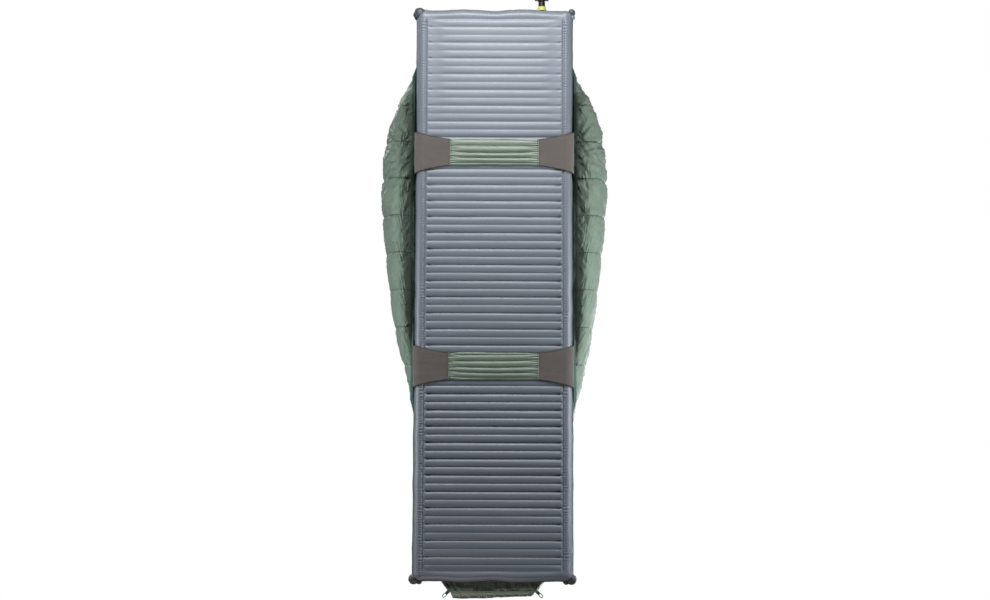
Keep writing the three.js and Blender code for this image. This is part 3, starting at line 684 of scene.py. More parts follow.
class Pad:
    RIB = 25.4 * MM
    EDGE = 26 * MM  # radius of the side rolls, seen from above
    RIBS_END = 217 * MM

    def __init__(self):
        low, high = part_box("pad_bottom_skin")
        top_low, top_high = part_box("pad_top_skin")
        self.half_x, self.half_y = top_high.x, top_high.y
        self.bottom, self.top = low.z, top_high.z
        self.seam = (high.z + top_low.z) / 2
        self.straps = [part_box(f"{place}_strap_sleeve") for place in ("upper", "lower")]
        self.straps = [(low.y + high.y) / 2 for low, high in self.straps]

    def lines(self, half, finest, places):
        """Inner coordinates and edge angles of one direction's grid lines."""
        inner = half - self.EDGE
        angle = np.linspace(0, math.pi / 2, finest + 1)[1:]
        coordinate = np.concatenate([np.full(finest, -inner), places, np.full(finest, inner)])
        turn = np.concatenate([-angle[::-1], np.zeros(len(places)), angle])
        return coordinate, turn

    def grid(self, below):
        """The skin's points, with its ribs, rails and puckers. Columns run along X and rows along Y."""
        inner_x, inner_y = self.half_x - self.EDGE, self.half_y - self.EDGE
        xs = [np.linspace(-inner_x, -0.2, 16), np.linspace(-0.19, 0.19, 39), np.linspace(0.2, inner_x, 16)]
        ys = np.linspace(-inner_y, inner_y, 697)
        cx, a = self.lines(self.half_x, 14, np.concatenate(xs))
        cy, b = self.lines(self.half_y, 12, ys)
        cx, cy = np.meshgrid(cx, cy)
        a, b = np.meshgrid(a, b)
        x = cx + self.EDGE * np.sin(a) * np.sqrt(1 - np.sin(b) ** 2 / 2)
        y = cy + self.EDGE * np.sin(b) * np.sqrt(1 - np.sin(a) ** 2 / 2)
        rolled = 1 - np.cos(a) * np.cos(b)
        lift = self.relief(x, y, below) * (1 - rolled) ** 0.7
        if below:
            z = self.bottom + (self.seam - self.bottom) * rolled + lift
        else:
            z = self.top - (self.top - self.seam) * rolled - lift
        wave = np.sign(y) * self.end_wave(x) * smoothstep(np.abs(y), 0.86, 0.91)
        y = y + wave + 7 * MM * smoothstep(-y, 0.82, 0.91)
        narrow = (1.2 + 2.6 * smoothstep(y, -0.6, 0.5)) * MM + (2.6 * MM if below else 0)
        x = x - np.sign(x) * (self.side_waist(y) + narrow) * smoothstep(np.abs(x), 0.2, 0.254)
        return np.stack([x, y, z], axis=-1)

    def end_wave(self, x):
        """The welded end pulls in and out between the ribs' ends and the corners."""
        return -2.2 * MM - 2.0 * MM * noise(x / 0.055, 0, 31) - 1.2 * MM * np.cos(x / 0.03)

    def side_waist(self, y):
        """The sides draw in a little between the end corners and where the straps pull."""
        waist = 1.2 * MM * (1 - bump(y, 0.9, 0.2)) * (1 - bump(y, -0.9, 0.2))
        for centre in self.straps:
            waist = waist + 1.5 * MM * bump(y, centre, 0.16)
        return waist + 0.8 * MM * noise(y / 0.05, 0, 41)

    def relief(self, x, y, below):
        """How far the skin lies inside its outermost plane: ribs, rail valleys, pinches and puckers."""
        place = y / self.RIB + 0.5
        nearest = np.round(place)
        away = np.abs(place - nearest)
        even = np.mod(nearest, 2) < 0.5
        head, foot = smoothstep(y, 0.4, 0.7), smoothstep(-y, 0.2, 0.8)
        looser, tighter = 0.75 * smoothstep(-y, 0.15, 0.4), 0.55 * smoothstep(-y, 0.5, 0.85)
        slack = (1 - 0.1 * head) * (1 + looser) * (1 - tighter)
        plain_head = head * smoothstep(np.abs(x), 0.1, 0.19)
        sharp = slack * (1 - 0.8 * smoothstep(y, 0.0, 0.55)) * (1 - plain_head)
        sag = np.where(even, 3.3 * MM, 2.0 * MM) * slack
        notch = np.where(even, 3.2 * MM, 1.4 * MM) * sharp
        if below:
            notch = notch * (1 + 0.35 * noise(x / 0.1, nearest * 1.7, 13))
        ribs = sag * (1 - 2 * away) ** 2 + notch * np.exp(-((away / 0.055) ** 2))
        wander = 1 + 0.14 * noise(x / 0.12, y / 0.06, 11 if below else 12)
        fade_from = 0.208 - 0.07 * head
        zone = 1 - smoothstep(np.abs(x), fade_from, self.RIBS_END + 0.003)
        zone = zone * smoothstep(y, -0.880, -0.865) * (1 - smoothstep(y, 0.872, 0.888))
        valley = 3.4 * MM * bump(np.abs(x), self.RIBS_END + 4 * MM, 0.009)
        valley = valley + 1.8 * MM * head * bump(np.abs(x), 0.19, 0.045)
        valley = valley * (1 - smoothstep(np.abs(y), 0.862, 0.884))
        pinch = np.where(even, 2.6 * MM, 1.0 * MM) * bump(np.abs(x), 0.206, 0.016)
        pinch = pinch * np.exp(-((away / 0.12) ** 2))
        pinch = pinch * (1 - smoothstep(np.abs(y), 0.85, 0.875))
        side_ripples = np.sin(TAU * (y + 0.004 * noise(y / 0.03, 0, 21)) / 0.0082)
        patchy = 0.35 + 0.65 * np.clip(noise(y / 0.045, np.sign(x) * 3.0, 22) + 0.45, 0, 1)
        puckers = 1.7 * MM * bump(np.abs(x), 0.229, 0.019) * side_ripples * patchy
        slow = 0.7 * MM * noise(x / 0.09, y / 0.09, 15) + 0.7 * MM
        slow = slow + foot * 0.8 * MM * noise(x / 0.2, y / 0.03, 16)
        end_valley = 2.6 * MM * (bump(y, 0.879, 0.016) + bump(y, -0.874, 0.02))
        end_valley = end_valley * (1 - smoothstep(np.abs(x), 0.17, 0.222))
        pressed = sum(1.2 * MM * bump(y, centre, 0.13) for centre in self.straps) if below else 0
        return ribs * zone * wander + valley + pinch + puckers + slow + end_valley + pressed


pad = Pad()


def build_pad_skins():
    under, over = pad.grid(True)[:, ::-1], pad.grid(False)
    piece = grid_object("pad_underside", under, under[..., :2])
    place_piece(piece, "pad", PAD_BOTTOM, ["pad_bottom_skin", "core_lower_truss"])
    piece = grid_object("pad_topside", over, over[..., :2])
    nodes = ["pad_top_skin", "core_middle_film", "core_upper_truss"]
    place_piece(piece, "pad", PAD_TOP, nodes)


# The weld rim's section: under 0 in metres, over 0 as a share of its reach, then height in mm
RIM_SECTION = ((-1.0 * MM, 0.5), (0.0, 0.5), (0.7, 0.42), (1.0, 0.0), (0.7, -0.42), (0.0, -0.5),
               (-1.0 * MM, -0.5))


def build_pad_flange():
    """The welded rim where the two skins meet, flat and thin, narrower beside the straps."""
    rim = grid_rim(pad.grid(True))
    rim[:, 2] = pad.seam
    tangent = np.roll(rim, -1, axis=0) - np.roll(rim, 1, axis=0)
    out = np.stack([tangent[:, 1], -tangent[:, 0], np.zeros(len(rim))], axis=-1)
    out /= np.linalg.norm(out, axis=1)[:, None]
    reach = 2.6 * MM + 0.5 * MM * noise(rim[:, 1] / 0.02, rim[:, 0] / 0.02, 51)
    for centre in pad.straps:
        near = smoothstep(-np.abs(rim[:, 1] - centre), -0.095, -0.07) * (np.abs(rim[:, 0]) > 0.2)
        reach = reach * (1 - near) + 0.3 * MM * near
    up = np.array([0.0, 0.0, 1.0])
    ripple = (0.5 * MM * noise(rim[:, 1] / 0.012, rim[:, 0] / 0.012, 52))[:, None] * up
    rings = []
    for share, height in RIM_SECTION:
        offset = out * (share * reach)[:, None] if share >= 0 else out * share
        rings.append(rim + offset + ripple * max(share, 0) + up * height * MM)
    grid = np.stack(rings + rings[:1], axis=0)
    grid = np.concatenate([grid, grid[:, :1]], axis=1)[:, ::-1]
    piece = grid_object("pad_weld_rim", grid, grid[..., :2])
    place_piece(piece, "pad", PAD_TOP)


# Two lobes for each corner: how far in from the side and from the end, then radius, all in mm
FOOT_LOBES = ((7.5, 15.0, 17.5), (24.0, 9.5, 11.5))
EAR_LOBES = {
    ("left", "head"): ((14.0, 13.0, 22.0), (33.0, 8.0, 11.5)),
    ("left", "foot"): FOOT_LOBES,
    ("right", "head"): ((8.0, 6.0, 12.5), (6.0, 22.0, 9.5)),
    ("right", "foot"): FOOT_LOBES,
}


def build_pad_ears():
    """A small welded lobe at each corner, in two puffs."""
    u, v = np.meshgrid(round_angles(48), np.linspace(-math.pi / 2, math.pi / 2, 25))
    weld = 1 - 0.09 * np.exp(-((v / 0.09) ** 2))
    for (side_word, end_word), lobes in EAR_LOBES.items():
        side, end = 1 if side_word == "left" else -1, 1 if end_word == "head" else -1
        for number, (in_x, in_y, radius) in enumerate(lobes, 1):
            centre_x = side * (pad.half_x - in_x * MM)
            centre_y = end * (pad.half_y - in_y * MM)
            reach = radius * MM * (1 + 0.05 * noise(u * 3, v * 3, 61 + number))
            creased = 1 - 0.045 * np.abs(np.sin(u * 6 + number)) * np.cos(v) ** 2
            flat = np.cos(v) ** 0.8 * reach * creased * weld
            rise = np.sin(v) * 19 * MM * radius / 16
            points = [centre_x + flat * np.cos(u), centre_y + flat * np.sin(u), pad.seam + 8 * MM + rise]
            ear = loop_object(f"pad_ear_{side_word}_{end_word}_{number}", np.stack(points, axis=-1))
            material = PAD_TOP if number == 1 or end < 0 else PAD_BOTTOM
            place_piece(ear, "pad", material)


def build_valve():
    """The base collar and the twist knob with its wings; body, seal and flap stay as in the CAD."""
    low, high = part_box("valve_collar")
    x, z = (low.x + high.x) / 2, (low.z + high.z) / 2
    build_valve_collar(x, z, low.y, high.y - low.y, (high.x - low.x) / 2)
    build_valve_knob(x, z)
    keep_node("valve_body", BLACK)
    keep_node("valve_seal_ring", RUBBER)
    keep_node("valve_check_flap", RUBBER)


def build_valve_collar(x, z, start, depth, radius):
    """A turned flange with a neck that tapers to the bore, round an axis along Y."""
    bore = 11.6 * MM
    inside = (bore, 0.3 * depth)
    profile = [
        inside,
        (bore, 0),
        (radius + 2.5 * MM, -0.2 * MM),
        (radius + 2.6 * MM, 0.8 * MM),
        (radius - 0.6 * MM, 1.6 * MM),
        (radius - 1.0 * MM, depth - 1.0 * MM),
        (radius - 1.8 * MM, depth + 1.0 * MM),
        (bore + 1.6 * MM, depth + 9.0 * MM),
        (bore, depth + 9.6 * MM),
        inside,
    ]
    reach, along = np.array(profile).T[..., None]
    angle = round_angles(64)
    points = [x + reach * np.cos(angle), start + along + 0 * angle, z + reach * np.sin(angle)]
    collar = loop_object("valve_base_collar", np.stack(points, axis=-1), closed=False, flip=True)
    place_piece(collar, "pad", LIME, ["valve_collar"])


def rounded(wave, power):
    """A sine or cosine with fuller sides: under 1, the power squares a round section."""
    return np.sign(wave) * np.abs(wave) ** power


def build_valve_knob(x, z):
    low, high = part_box("valve_knob")
    radius, span, depth = 13 * MM, high.x - low.x, high.y - low.y
    angle = round_angles(96)[None, :]
    along = np.linspace(0, 1, 40)[:, None]
    shoulder = np.sqrt(np.clip(1 - np.clip((along - 0.86) / 0.14, 0, 1) ** 2, 0.02, 1))
    foot = np.sqrt(np.clip(1 - np.clip((0.06 - along) / 0.06, 0, 1) ** 2 * 0.2, 0, 1))
    ridged = smoothstep(along, 0.1, 0.16) * (1 - smoothstep(along, 0.8, 0.86))
    grip = 1 - 0.035 * (np.cos(12 * angle) > 0.3) * ridged
    body = radius * (0.93 + 0.07 * smoothstep(along, 0, 0.3)) * shoulder * foot * grip
    points = [x + body * np.cos(angle), low.y + depth * along + 0 * angle, z + body * np.sin(angle)]
    knob = loop_object("valve_twist_cap", np.stack(points, axis=-1), flip=True)
    place_piece(knob, "valve_twist_knob", BLACK, ["valve_knob"])
    turn = round_angles(44)
    rings = []
    for share in np.linspace(0.08, 0.9, 22):
        reach = span / 2 * (1 - 0.10 * (2 * share - 1) ** 2)
        wide = rounded(np.cos(turn), 0.6) * reach
        waist = 0.75 + 0.25 * np.cos(math.pi * wide / span * 1.6)
        thick = rounded(np.sin(turn), 0.7) * 2.5 * MM * waist
        rings.append(np.stack([x + wide, np.full(44, low.y + depth * share), z + thick], axis=-1))
    wings = loop_object("valve_twist_wings", np.array(rings), flip=True)
    bevel = wings.modifiers.new("edge", "BEVEL")
    bevel.width, bevel.segments, bevel.limit_method = 0.8 * MM, 3, "ANGLE"
    apply_modifiers(wings)
    wings.data.shade_smooth()
    place_piece(wings, "valve_twist_knob", BLACK)


build_pad_skins()
build_pad_flange()
build_pad_ears()
build_valve()


# ---- The quilt's shell, liner and foot ----

def foot_taper(y):
    """The closed foot narrows towards its end."""
    return 1 - 0.16 * smoothstep(-y, 0.900, 0.964)


def puffed_chamber(share, power):
    """Height of a chamber between its two seams, from 0 to 1."""
    return (4 * share * (1 - share)) ** power


def seam_distance(y):
    seams = np.array(quilt.seams)
    return np.min(np.abs(np.asarray(y)[..., None] - seams), axis=-1)


def hem_distance(across, y):
    """Length of cloth from a point to its nearest hem."""
    places = np.linspace(quilt.foot, quilt.head, 60)
    halves = [quilt.even_section(3, place, SHELL_INSET)[1][-1] for place in places]
    return np.interp(y, places, halves) - np.abs(across)


def creases(u, v, seed, long, wide, turn):
    """Soft ridges about long by wide, at an angle, from 0 to 1."""
    c, s = math.cos(turn), math.sin(turn)
    p, q = (u * c + v * s) / long, (v * c - u * s) / wide
    ridge = 1 - np.abs(noise(p, q + 0.4 * noise(p * 1.7, q * 0.3, seed + 50), seed, 2))
    return np.clip(ridge, 0, 1) ** 2


def pulled(across, y, edge, centre, seed, near, far):
    """Creases that fan out from where a strap pulls on the hem."""
    side = np.sign(across) + 3
    radius = np.hypot(edge, y - centre)
    angle = np.arctan2(y - centre, edge)
    fan = 1 - np.abs(noise(angle * 5.5 + side * 7, radius / 0.25, seed, 2))
    return np.clip(fan, 0, 1) ** 2 * smoothstep(radius, 0.02, near) * (1 - smoothstep(radius, near, far))


def shell_creases(across, y, side):
    """How far the shell stands out of the smooth puffed sheet. side is 1 low down beside the pad."""
    edge = hem_distance(across, y)
    seam = seam_distance(y)
    head = smoothstep(y, -0.1, 0.4)
    warp = across + 0.012 * noise(across / 0.07, y / 0.05, 70)
    pucker = 1 - np.abs(noise(warp / 0.0125, y / 0.085, 71, 2))
    pucker = np.clip(pucker, 0, 1) ** 2 - 0.45
    near_seam = np.exp(-seam / (0.014 + 0.026 * side))
    out = (2.4 + 2.2 * side) * MM * pucker * near_seam * (0.55 + 0.45 * head)
    slack = (0.4 + 0.6 * head) * (0.5 + 0.5 * side)
    right = 1 + 0.5 * smoothstep(-across, 0.2, 0.4)
    along = np.abs(across)
    out = out + 4.0 * MM * slack * right * (creases(y, along, 73, 0.1, 0.0145, 0.75) - 0.4)
    out = out + 2.2 * MM * slack * (creases(y, along, 74, 0.07, 0.012, -0.6) - 0.4)
    out = out + 3.2 * MM * head * side * (creases(y, along, 78, 0.09, 0.014, 0.9) - 0.4)
    upper, lower = pad.straps
    out = out + 6.0 * MM * right * (pulled(across, y, edge, upper, 75, 0.08, 0.32) - 0.3)
    out = out + 3.0 * MM * (pulled(across, y, edge, lower, 76, 0.06, 0.24) - 0.3)
    groove = 2.8 * MM * side * np.exp(-((seam / 0.0035) ** 2))
    out = out * smoothstep(seam, 0.0, 0.006) - groove
    gather = np.sin(TAU * (y + 0.003 * noise(y / 0.02, 0, 77)) / 0.0105)
    drawn = 8 * MM * bump(y, 0.62, 0.22) + 11 * MM * bump(y, -0.3, 0.3)
    out = out - drawn * smoothstep(across, 0.05, 0.25) * side
    out = out - 5 * MM * bump(y, 0.7, 0.14) * (1 - smoothstep(across, -0.25, -0.05)) * side
    out = out * smoothstep(edge, 0.0, 0.02) + 0.9 * MM * gather * np.exp(-edge / 0.012)
    ends = smoothstep(y, quilt.foot, quilt.foot + 0.02)
    ends = ends * (1 - smoothstep(y, quilt.head - 0.02, quilt.head))
    return out * ends


def build_shell():
    columns = 151
    points, weave, ys = quilt_grid(columns, SHELL_INSET)
    rows = len(ys)
    across = np.abs(np.linspace(-1, 1, columns))
    pins = np.zeros((rows, columns))
    pins[::CHAMBER_ROWS] = 1
    pins[:, 0] = pins[:, -1] = 1
    uneven = 1.5 * MM * noise(weave[..., 0] * 60, weave[..., 1] * 60, 3, 2) * (1 - pins)
    piece = grid_object("quilt_shell", points, weave)
    displace(piece, uneven.ravel())
    simulate(piece, pins.ravel())
    puffed = mesh_points(piece)
    flat = points.reshape(-1, 3)
    # low down beside the pad the cloth is pulled nearly flat
    low = (1 - smoothstep(flat[:, 2], 0.17, 0.27))[:, None]
    pull = 6.5 * MM * smoothstep(1 - (across[None, :] + 0 * pins), 0, 0.06).reshape(-1, 1)
    tight = flat + sheet_normals(points).reshape(-1, 3) * pull + 0.26 * (puffed - flat)
    set_mesh_points(piece, puffed * (1 - low) + tight * low)
    subdivide(piece)
    cloth, place = weave_of(piece), mesh_points(piece)
    narrow = place.copy()
    narrow[:, 0] *= foot_taper(place[:, 1])
    set_mesh_points(piece, narrow)
    side = 1 - smoothstep(place[:, 2], 0.17, 0.3)
    displace(piece, shell_creases(cloth[:, 0], cloth[:, 1], side))
    nodes = ["outer_shell", "collar_shell", "collar_fill_lower", "collar_fill_upper"]
    nodes += [f"down_fill_{i:02d}" for i in range(1, 14)]
    place_piece(piece, None, SHELL, nodes)
    across_fold(piece)


def build_liner():
    columns = 121
    points, weave, ys = quilt_grid(columns, LINER_INSET)
    across, along = weave[..., 0], weave[..., 1]
    share = chamber_share(len(ys))[:, None]
    edge = smoothstep(1 - np.abs(np.linspace(-1, 1, columns)), 0, 0.08)
    puff = 8.5 * MM * puffed_chamber(share, 0.6) * edge
    ripple = np.sin(TAU * across / 0.021 + 3 * noise(across / 0.05, along / 0.1, 81))
    seam = seam_distance(along)
    puff = puff + 1.2 * MM * ripple * np.exp(-seam / 0.02) * smoothstep(seam, 0, 0.008) * edge
    soft = 2.4 * MM * (creases(across, along, 82, 0.08, 0.02, 0.6) - 0.5)
    puff = puff + soft * smoothstep(seam, 0, 0.02) * edge
    points = points - sheet_normals(points) * puff[..., None]
    points[..., 0] *= foot_taper(points[..., 1])
    piece = grid_object("quilt_liner", points[:, ::-1], weave[:, ::-1])
    nodes = ["inner_liner_with_baffles", "collar_liner_with_baffle"]
    place_piece(piece, None, LINER, nodes)
    across_fold(piece)


def foot_ring(inset, y, floor):
    """The foot's closed outline: over the crest from hem to hem, then back along the floor."""
    arch = quilt.section(np.linspace(-1, 1, 121), quilt.foot, inset)
    arch[:, 0] *= foot_taper(y)
    reach = abs(arch[-1][0])
    arch[:, 2] = np.maximum(arch[:, 2], floor)
    base = np.linspace(reach, -reach, 62)[1:-1]
    base = np.stack([base, np.zeros(60), np.full(60, floor)], axis=-1)
    ring = np.concatenate([arch, base])
    skew = 0.03 * ring[:, 0] * float(smoothstep(-y, 0.935, 0.955))
    ring[:, 1] = y - skew
    return ring


def build_foot_end(name, material, nodes, first, inward, depth, bulge, floor, outside):
    """The foot's closed end, rounded over and gathered round its edge.

    first and inward are its inset at the start and how much that grows, depth how far it reaches
    along the quilt, bulge its middle and floor its lowest height over the hem.
    """
    rings, shares = [], []
    for share in np.linspace(0, 1, 15):
        inset = first + inward * (1 - math.cos(share * math.pi / 2))
        y = quilt.foot + depth * math.sin(share * math.pi / 2)
        rings.append(foot_ring(inset, y, quilt.hem + floor + 0.9 * (inset - first)))
        shares.append(share)
    edge = rings[-1]
    middle = np.array([0, edge[0][1], 0.5 * (edge[:, 2].min() + edge[:, 2].max())])
    flat = edge - middle
    for share in np.linspace(0.97, 0.0, 26):
        ring = middle + flat * share * np.array([1, 0, 1])
        ring[:, 1] = edge[:, 1] + bulge * (1 - share**2)
        rings.append(ring)
        shares.append(1 + (1 - share))
    rings = np.array(rings)
    steps = np.linalg.norm(np.roll(rings[8], -1, axis=0) - rings[8], axis=1)
    around = np.cumsum(steps)[None, :]
    shares = np.array(shares)[:, None]
    wave = around / 0.0135 + 0.55 * noise(around / 0.04, shares, 91)
    gather = 0.6 * np.sin(TAU * wave) + 0.4 * np.sin(math.pi * wave + 1.0)
    gather = gather * (0.6 + 0.4 * noise(around / 0.06, 0, 92))
    size = 4.8 * MM * np.exp(-(((shares - 0.8) / 0.42) ** 2)) * smoothstep(shares, 0.0, 0.35)
    soft = 3.0 * MM * noise(rings[..., 0] / 0.06, rings[..., 2] / 0.05, 93, 2)
    soft = soft * smoothstep(shares, 1.0, 1.3) * (1 - smoothstep(shares, 1.8, 2))
    normal = sheet_normals(rings)
    rings = rings + normal * (gather * size)[..., None] * (-1 if outside else 1)
    rings[..., 1] += soft
    weave = np.stack(np.broadcast_arrays(around + 0 * shares, shares * 0.06), axis=-1)
    piece = loop_object(name, rings, weave, closed=False, flip=outside)
    place_piece(piece, "quilt", material, nodes)


def build_footbox_floor():
    """A quilted slab under the sleeper's feet: puffed above, grooved and creased below."""
    ys = chamber_rows(quilt.seams[:FOOT_CHAMBERS + 1])
    across = np.linspace(-1, 1, 61)
    under = across[::-1][1:-1]
    rings = []
    for y, share in zip(ys, chamber_share(len(ys))):
        to_seam = min(share, 1 - share)
        reach = (quilt.hem_x(y) - 2 * MM) * float(foot_taper(y))
        crown = (1 - np.abs(across) ** 6) * (5 + 10 * puffed_chamber(share, 0.6)) * MM
        ripple = 0.8 * MM * np.sin(across * reach / 0.0035 + 4 * noise(across * 3, y / 0.05, 95))
        ripple = ripple * math.exp(-to_seam / 0.08)
        high = quilt.hem + 2.5 * MM + crown + ripple * (1 - across**2)
        top = np.stack([across * reach, np.full(61, y), high], axis=-1)
        past = float(1 - smoothstep(y, -0.93, -0.88))  # 1 at the foot's end, where it is creased
        fan = 1 + 2.2 * (y + 0.9)
        fold = creases(np.full(59, y), under * reach * fan, 96, 0.07, 0.011, 0.0) - 0.5
        gather = np.sin(under * reach / 0.0021 + 3 * noise(under * 4, y / 0.06, 97))
        groove = math.exp(-to_seam / 0.09) * (2.6 + 1.2 * gather)
        low = quilt.hem + 2.0 * MM - 8.0 * MM * fold * past
        low = low + groove * MM * (1 - np.abs(under) ** 6) * (1 - past)
        base = np.stack([under * reach, np.full(59, y), low], axis=-1)
        rings.append(np.concatenate([top, base]))
    piece = loop_object("footbox_floor_quilted", np.array(rings))
    nodes = ["footbox_floor_cover", "footbox_floor_fill", "footbox_floor_liner"]
    place_piece(piece, "quilt", FLOOR, nodes)


def build_hem(side):
    """A gathered tape folded over the hem, with a row of stitches underneath."""
    ys = np.arange(quilt.seams[FOOT_CHAMBERS] + 1 * MM, quilt.head, 2.2 * MM)
    turn = round_angles(18)
    level, thick = quilt.hem + 2.0 * MM, 1.5 * MM
    ruffle = 0.7 * MM * np.sin(TAU * ys / 0.0115 + 2 * noise(ys / 0.03, side, 101))
    lift = 0.5 * MM * noise(ys / 0.02, side, 102)
    wide = 5.2 * MM + 0.4 * MM * noise(ys / 0.012, side, 103)
    middle = quilt.hem_x(ys) - 2.4 * MM
    x = middle[:, None] + ruffle[:, None] * 0.6 + wide[:, None] * rounded(np.cos(turn), 0.7)
    z = level + lift[:, None] + thick * np.sin(turn) * (1 + 0.25 * np.sin(ys[:, None] / 0.0018))
    points = np.stack([side * x, ys[:, None] + 0 * turn, z], axis=-1)
    weave = np.stack([x, ys[:, None] + 0 * turn], axis=-1)
    name = side_name(side)
    tape = loop_object(f"hem_tape_{name}", points, weave, flip=side > 0)
    place_piece(tape, None, BINDING, [f"hem_binding_{name}", f"collar_hem_{name}"])
    across_fold(tape)
    pitch = 3.6 * MM
    places = np.arange(ys[0] + pitch, ys[-1] - pitch, pitch)
    bottom = level + np.interp(places, ys, lift) - 1.65 * MM
    at = quilt.hem_x(places) - 0.2 * MM
    starts = np.stack([side * at, places, bottom], axis=-1)
    row = stitches(f"hem_stitching_{name}", starts, starts + np.array([0, 2.5 * MM, 0]), 0.32 * MM)
    place_piece(row, None, THREAD)
    across_fold(row)


def build_neck():
    build_neck_rim()
    build_neck_cord()
    keep_node("cord_lock_body", BLACK, 0.9 * MM)
    keep_node("cord_lock_plunger", BLACK, 0.5 * MM)
    build_lock_spring()


def build_neck_rim():
    """The rim that closes the loft at the head, gathered."""
    columns = 241
    points, weave = [], []
    for share in np.linspace(0, 1, 19):
        inset = SHELL_INSET + share * (LINER_INSET - SHELL_INSET)
        section, along = quilt.even_section(columns, quilt.head, inset)
        arch = math.sin(math.pi * share)
        bulge = 6.0 * MM * arch ** 0.6 - 3.4 * MM * float(bump(share, 0.5, 0.34))
        wave = along / 0.0135 + 0.4 * noise(along / 0.03, 0, 111)
        gather = 1.1 * MM * np.sin(TAU * wave) * arch
        uneven = 0.6 + 0.4 * noise(along / 0.05, 1, 112)
        section[:, 1] += bulge + gather * uneven - 0.4 * MM * arch
        points.append(section)
        weave.append(np.stack([along, np.full(columns, share * 0.03)], axis=-1))
    points, weave = np.array(points), np.array(weave)
    rim = grid_object("neck_rim_gathered", points[:, ::-1], weave[:, ::-1])
    place_piece(rim, "collar", SHELL, ["neck_rim_binding"])


KEEPERS = (-0.86, -0.68, -0.5, -0.32, -0.15, 0.15, 0.32, 0.5, 0.68, 0.86)  # places across the rim


def build_neck_cord():
    """The drawcord round the rim, its tail to the cord lock, and the keepers that hold it."""
    cord_low, cord_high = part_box("neck_drawcord")
    lock_low, lock_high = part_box("cord_lock_body")
    level = (lock_low.z + lock_high.z) / 2
    inset = float(quilt.crest(quilt.head)) - level
    margin, radius = 1.5 * MM, 1.45 * MM
    near, far = cord_low.y + margin, cord_high.y - margin
    arch = quilt.section(np.linspace(-0.955, 0.955, 161), quilt.head, inset)
    arch[:, 1] = near
    cord = cord_object("neck_cord_round_rim", arch, radius)
    place_piece(cord, "collar", CORD, ["neck_drawcord"])
    half = 3.2 * MM
    turn = np.linspace(0, math.pi, 13)[1:-1]
    tail = [(-half, y, level) for y in np.linspace(near, far - half, 24)]
    tail += [(-half * math.cos(a), far - half + half * math.sin(a), level) for a in turn]
    tail += [(half, y, level) for y in np.linspace(far - half, near, 24)]
    piece = cord_object("neck_cord_tail", np.array(tail), radius, step=1.0 * MM)
    place_piece(piece, "collar", CORD)
    for number, place in enumerate(KEEPERS, 1):
        around = quilt.section(np.array([place - 0.004, place, place + 0.004]), quilt.head, inset)
        along = around[2] - around[0]
        along /= np.linalg.norm(along)
        across = np.cross(along, [0, 1, 0])
        ring = []
        for a in np.linspace(-0.15 * math.pi, 1.15 * math.pi, 15):
            height = near + 2.0 * MM * math.sin(a)
            out = across * 2.6 * MM * math.cos(a)
            ring.append(around[1] * [1, 0, 1] + out + np.array([0, height, 0]))
        ring = np.array(ring)
        points = np.stack([ring + along * s * 3.2 * MM for s in np.linspace(-1, 1, 7)])
        band = slab_object(f"neck_cord_keeper_{number:02d}", points, 0.6 * MM)
        place_piece(band, "collar", BINDING)


def build_lock_spring():
    """The coil under the cord lock's button."""
    low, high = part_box("cord_lock_spring")
    wire, turns, travel = 0.4 * MM, 4.5, 4.0 * MM
    height = high.z - low.z
    share = np.linspace(0, 1, 220)
    turn = TAU * turns * share
    reach = (high.x - low.x) / 2 - wire
    middle = (low + high) / 2
    rise = low.z + wire + (height - 2 * wire) * share
    coil = np.stack([middle.x + reach * np.cos(turn), middle.y + reach * np.sin(turn), rise], axis=-1)
    spring = cord_object("cord_lock_coil_spring", coil, wire, step=0.35 * MM, sides=10)
    place_piece(spring, "cord_lock", STEEL, ["cord_lock_spring"])
    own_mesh(spring)


def build_neck_tab(side):
    """A webbing tab with rounded edges and a tapered tip, and two rows of stitches."""
    name = side_name(side)
    low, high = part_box(f"neck_tab_{name}")
    xs = np.linspace(low.x, high.x, 90)
    across = 2 * np.linspace(0, 1, 17)[:, None] - 1
    tip = -side * (12 * MM)
    taper = 1 - 0.5 * np.clip(1 - np.abs(xs - tip) / (6 * MM), 0, 1) ** 2.2
    middle, half = (low.y + high.y) / 2, (high.y - low.y) / 2
    y = middle + across * half * taper[None, :]
    rounding = np.abs(across) ** 6
    z = high.z - 0.5 * MM * rounding + 0.15 * MM * np.sin(xs[None, :] / 0.0007) + 0 * y
    points = np.stack([xs[None, :] + 0 * y, y, z], axis=-1)
    thickness = (high.z - low.z) * (1 - 0.45 * rounding) * np.ones(len(xs))[None, :]
    tab = slab_object(f"neck_tab_webbing_{name}", points, thickness)
    body = "collar" if side > 0 else "right_tab"
    place_piece(tab, body, BINDING, [f"neck_tab_{name}"])
    margin, pitch, long = 6 * MM, 3.4 * MM, 2.3 * MM
    starts, ends = [], []
    for line in (-0.72, 0.72):
        for x in np.arange(low.x + margin, high.x - margin, pitch):
            starts.append((x, middle + line * half, high.z + 0.1 * MM))
            ends.append((x + long, middle + line * half, high.z + 0.1 * MM))
    row = stitches(f"neck_tab_stitching_{name}", starts, ends, 0.3 * MM)
    place_piece(row, body, THREAD)


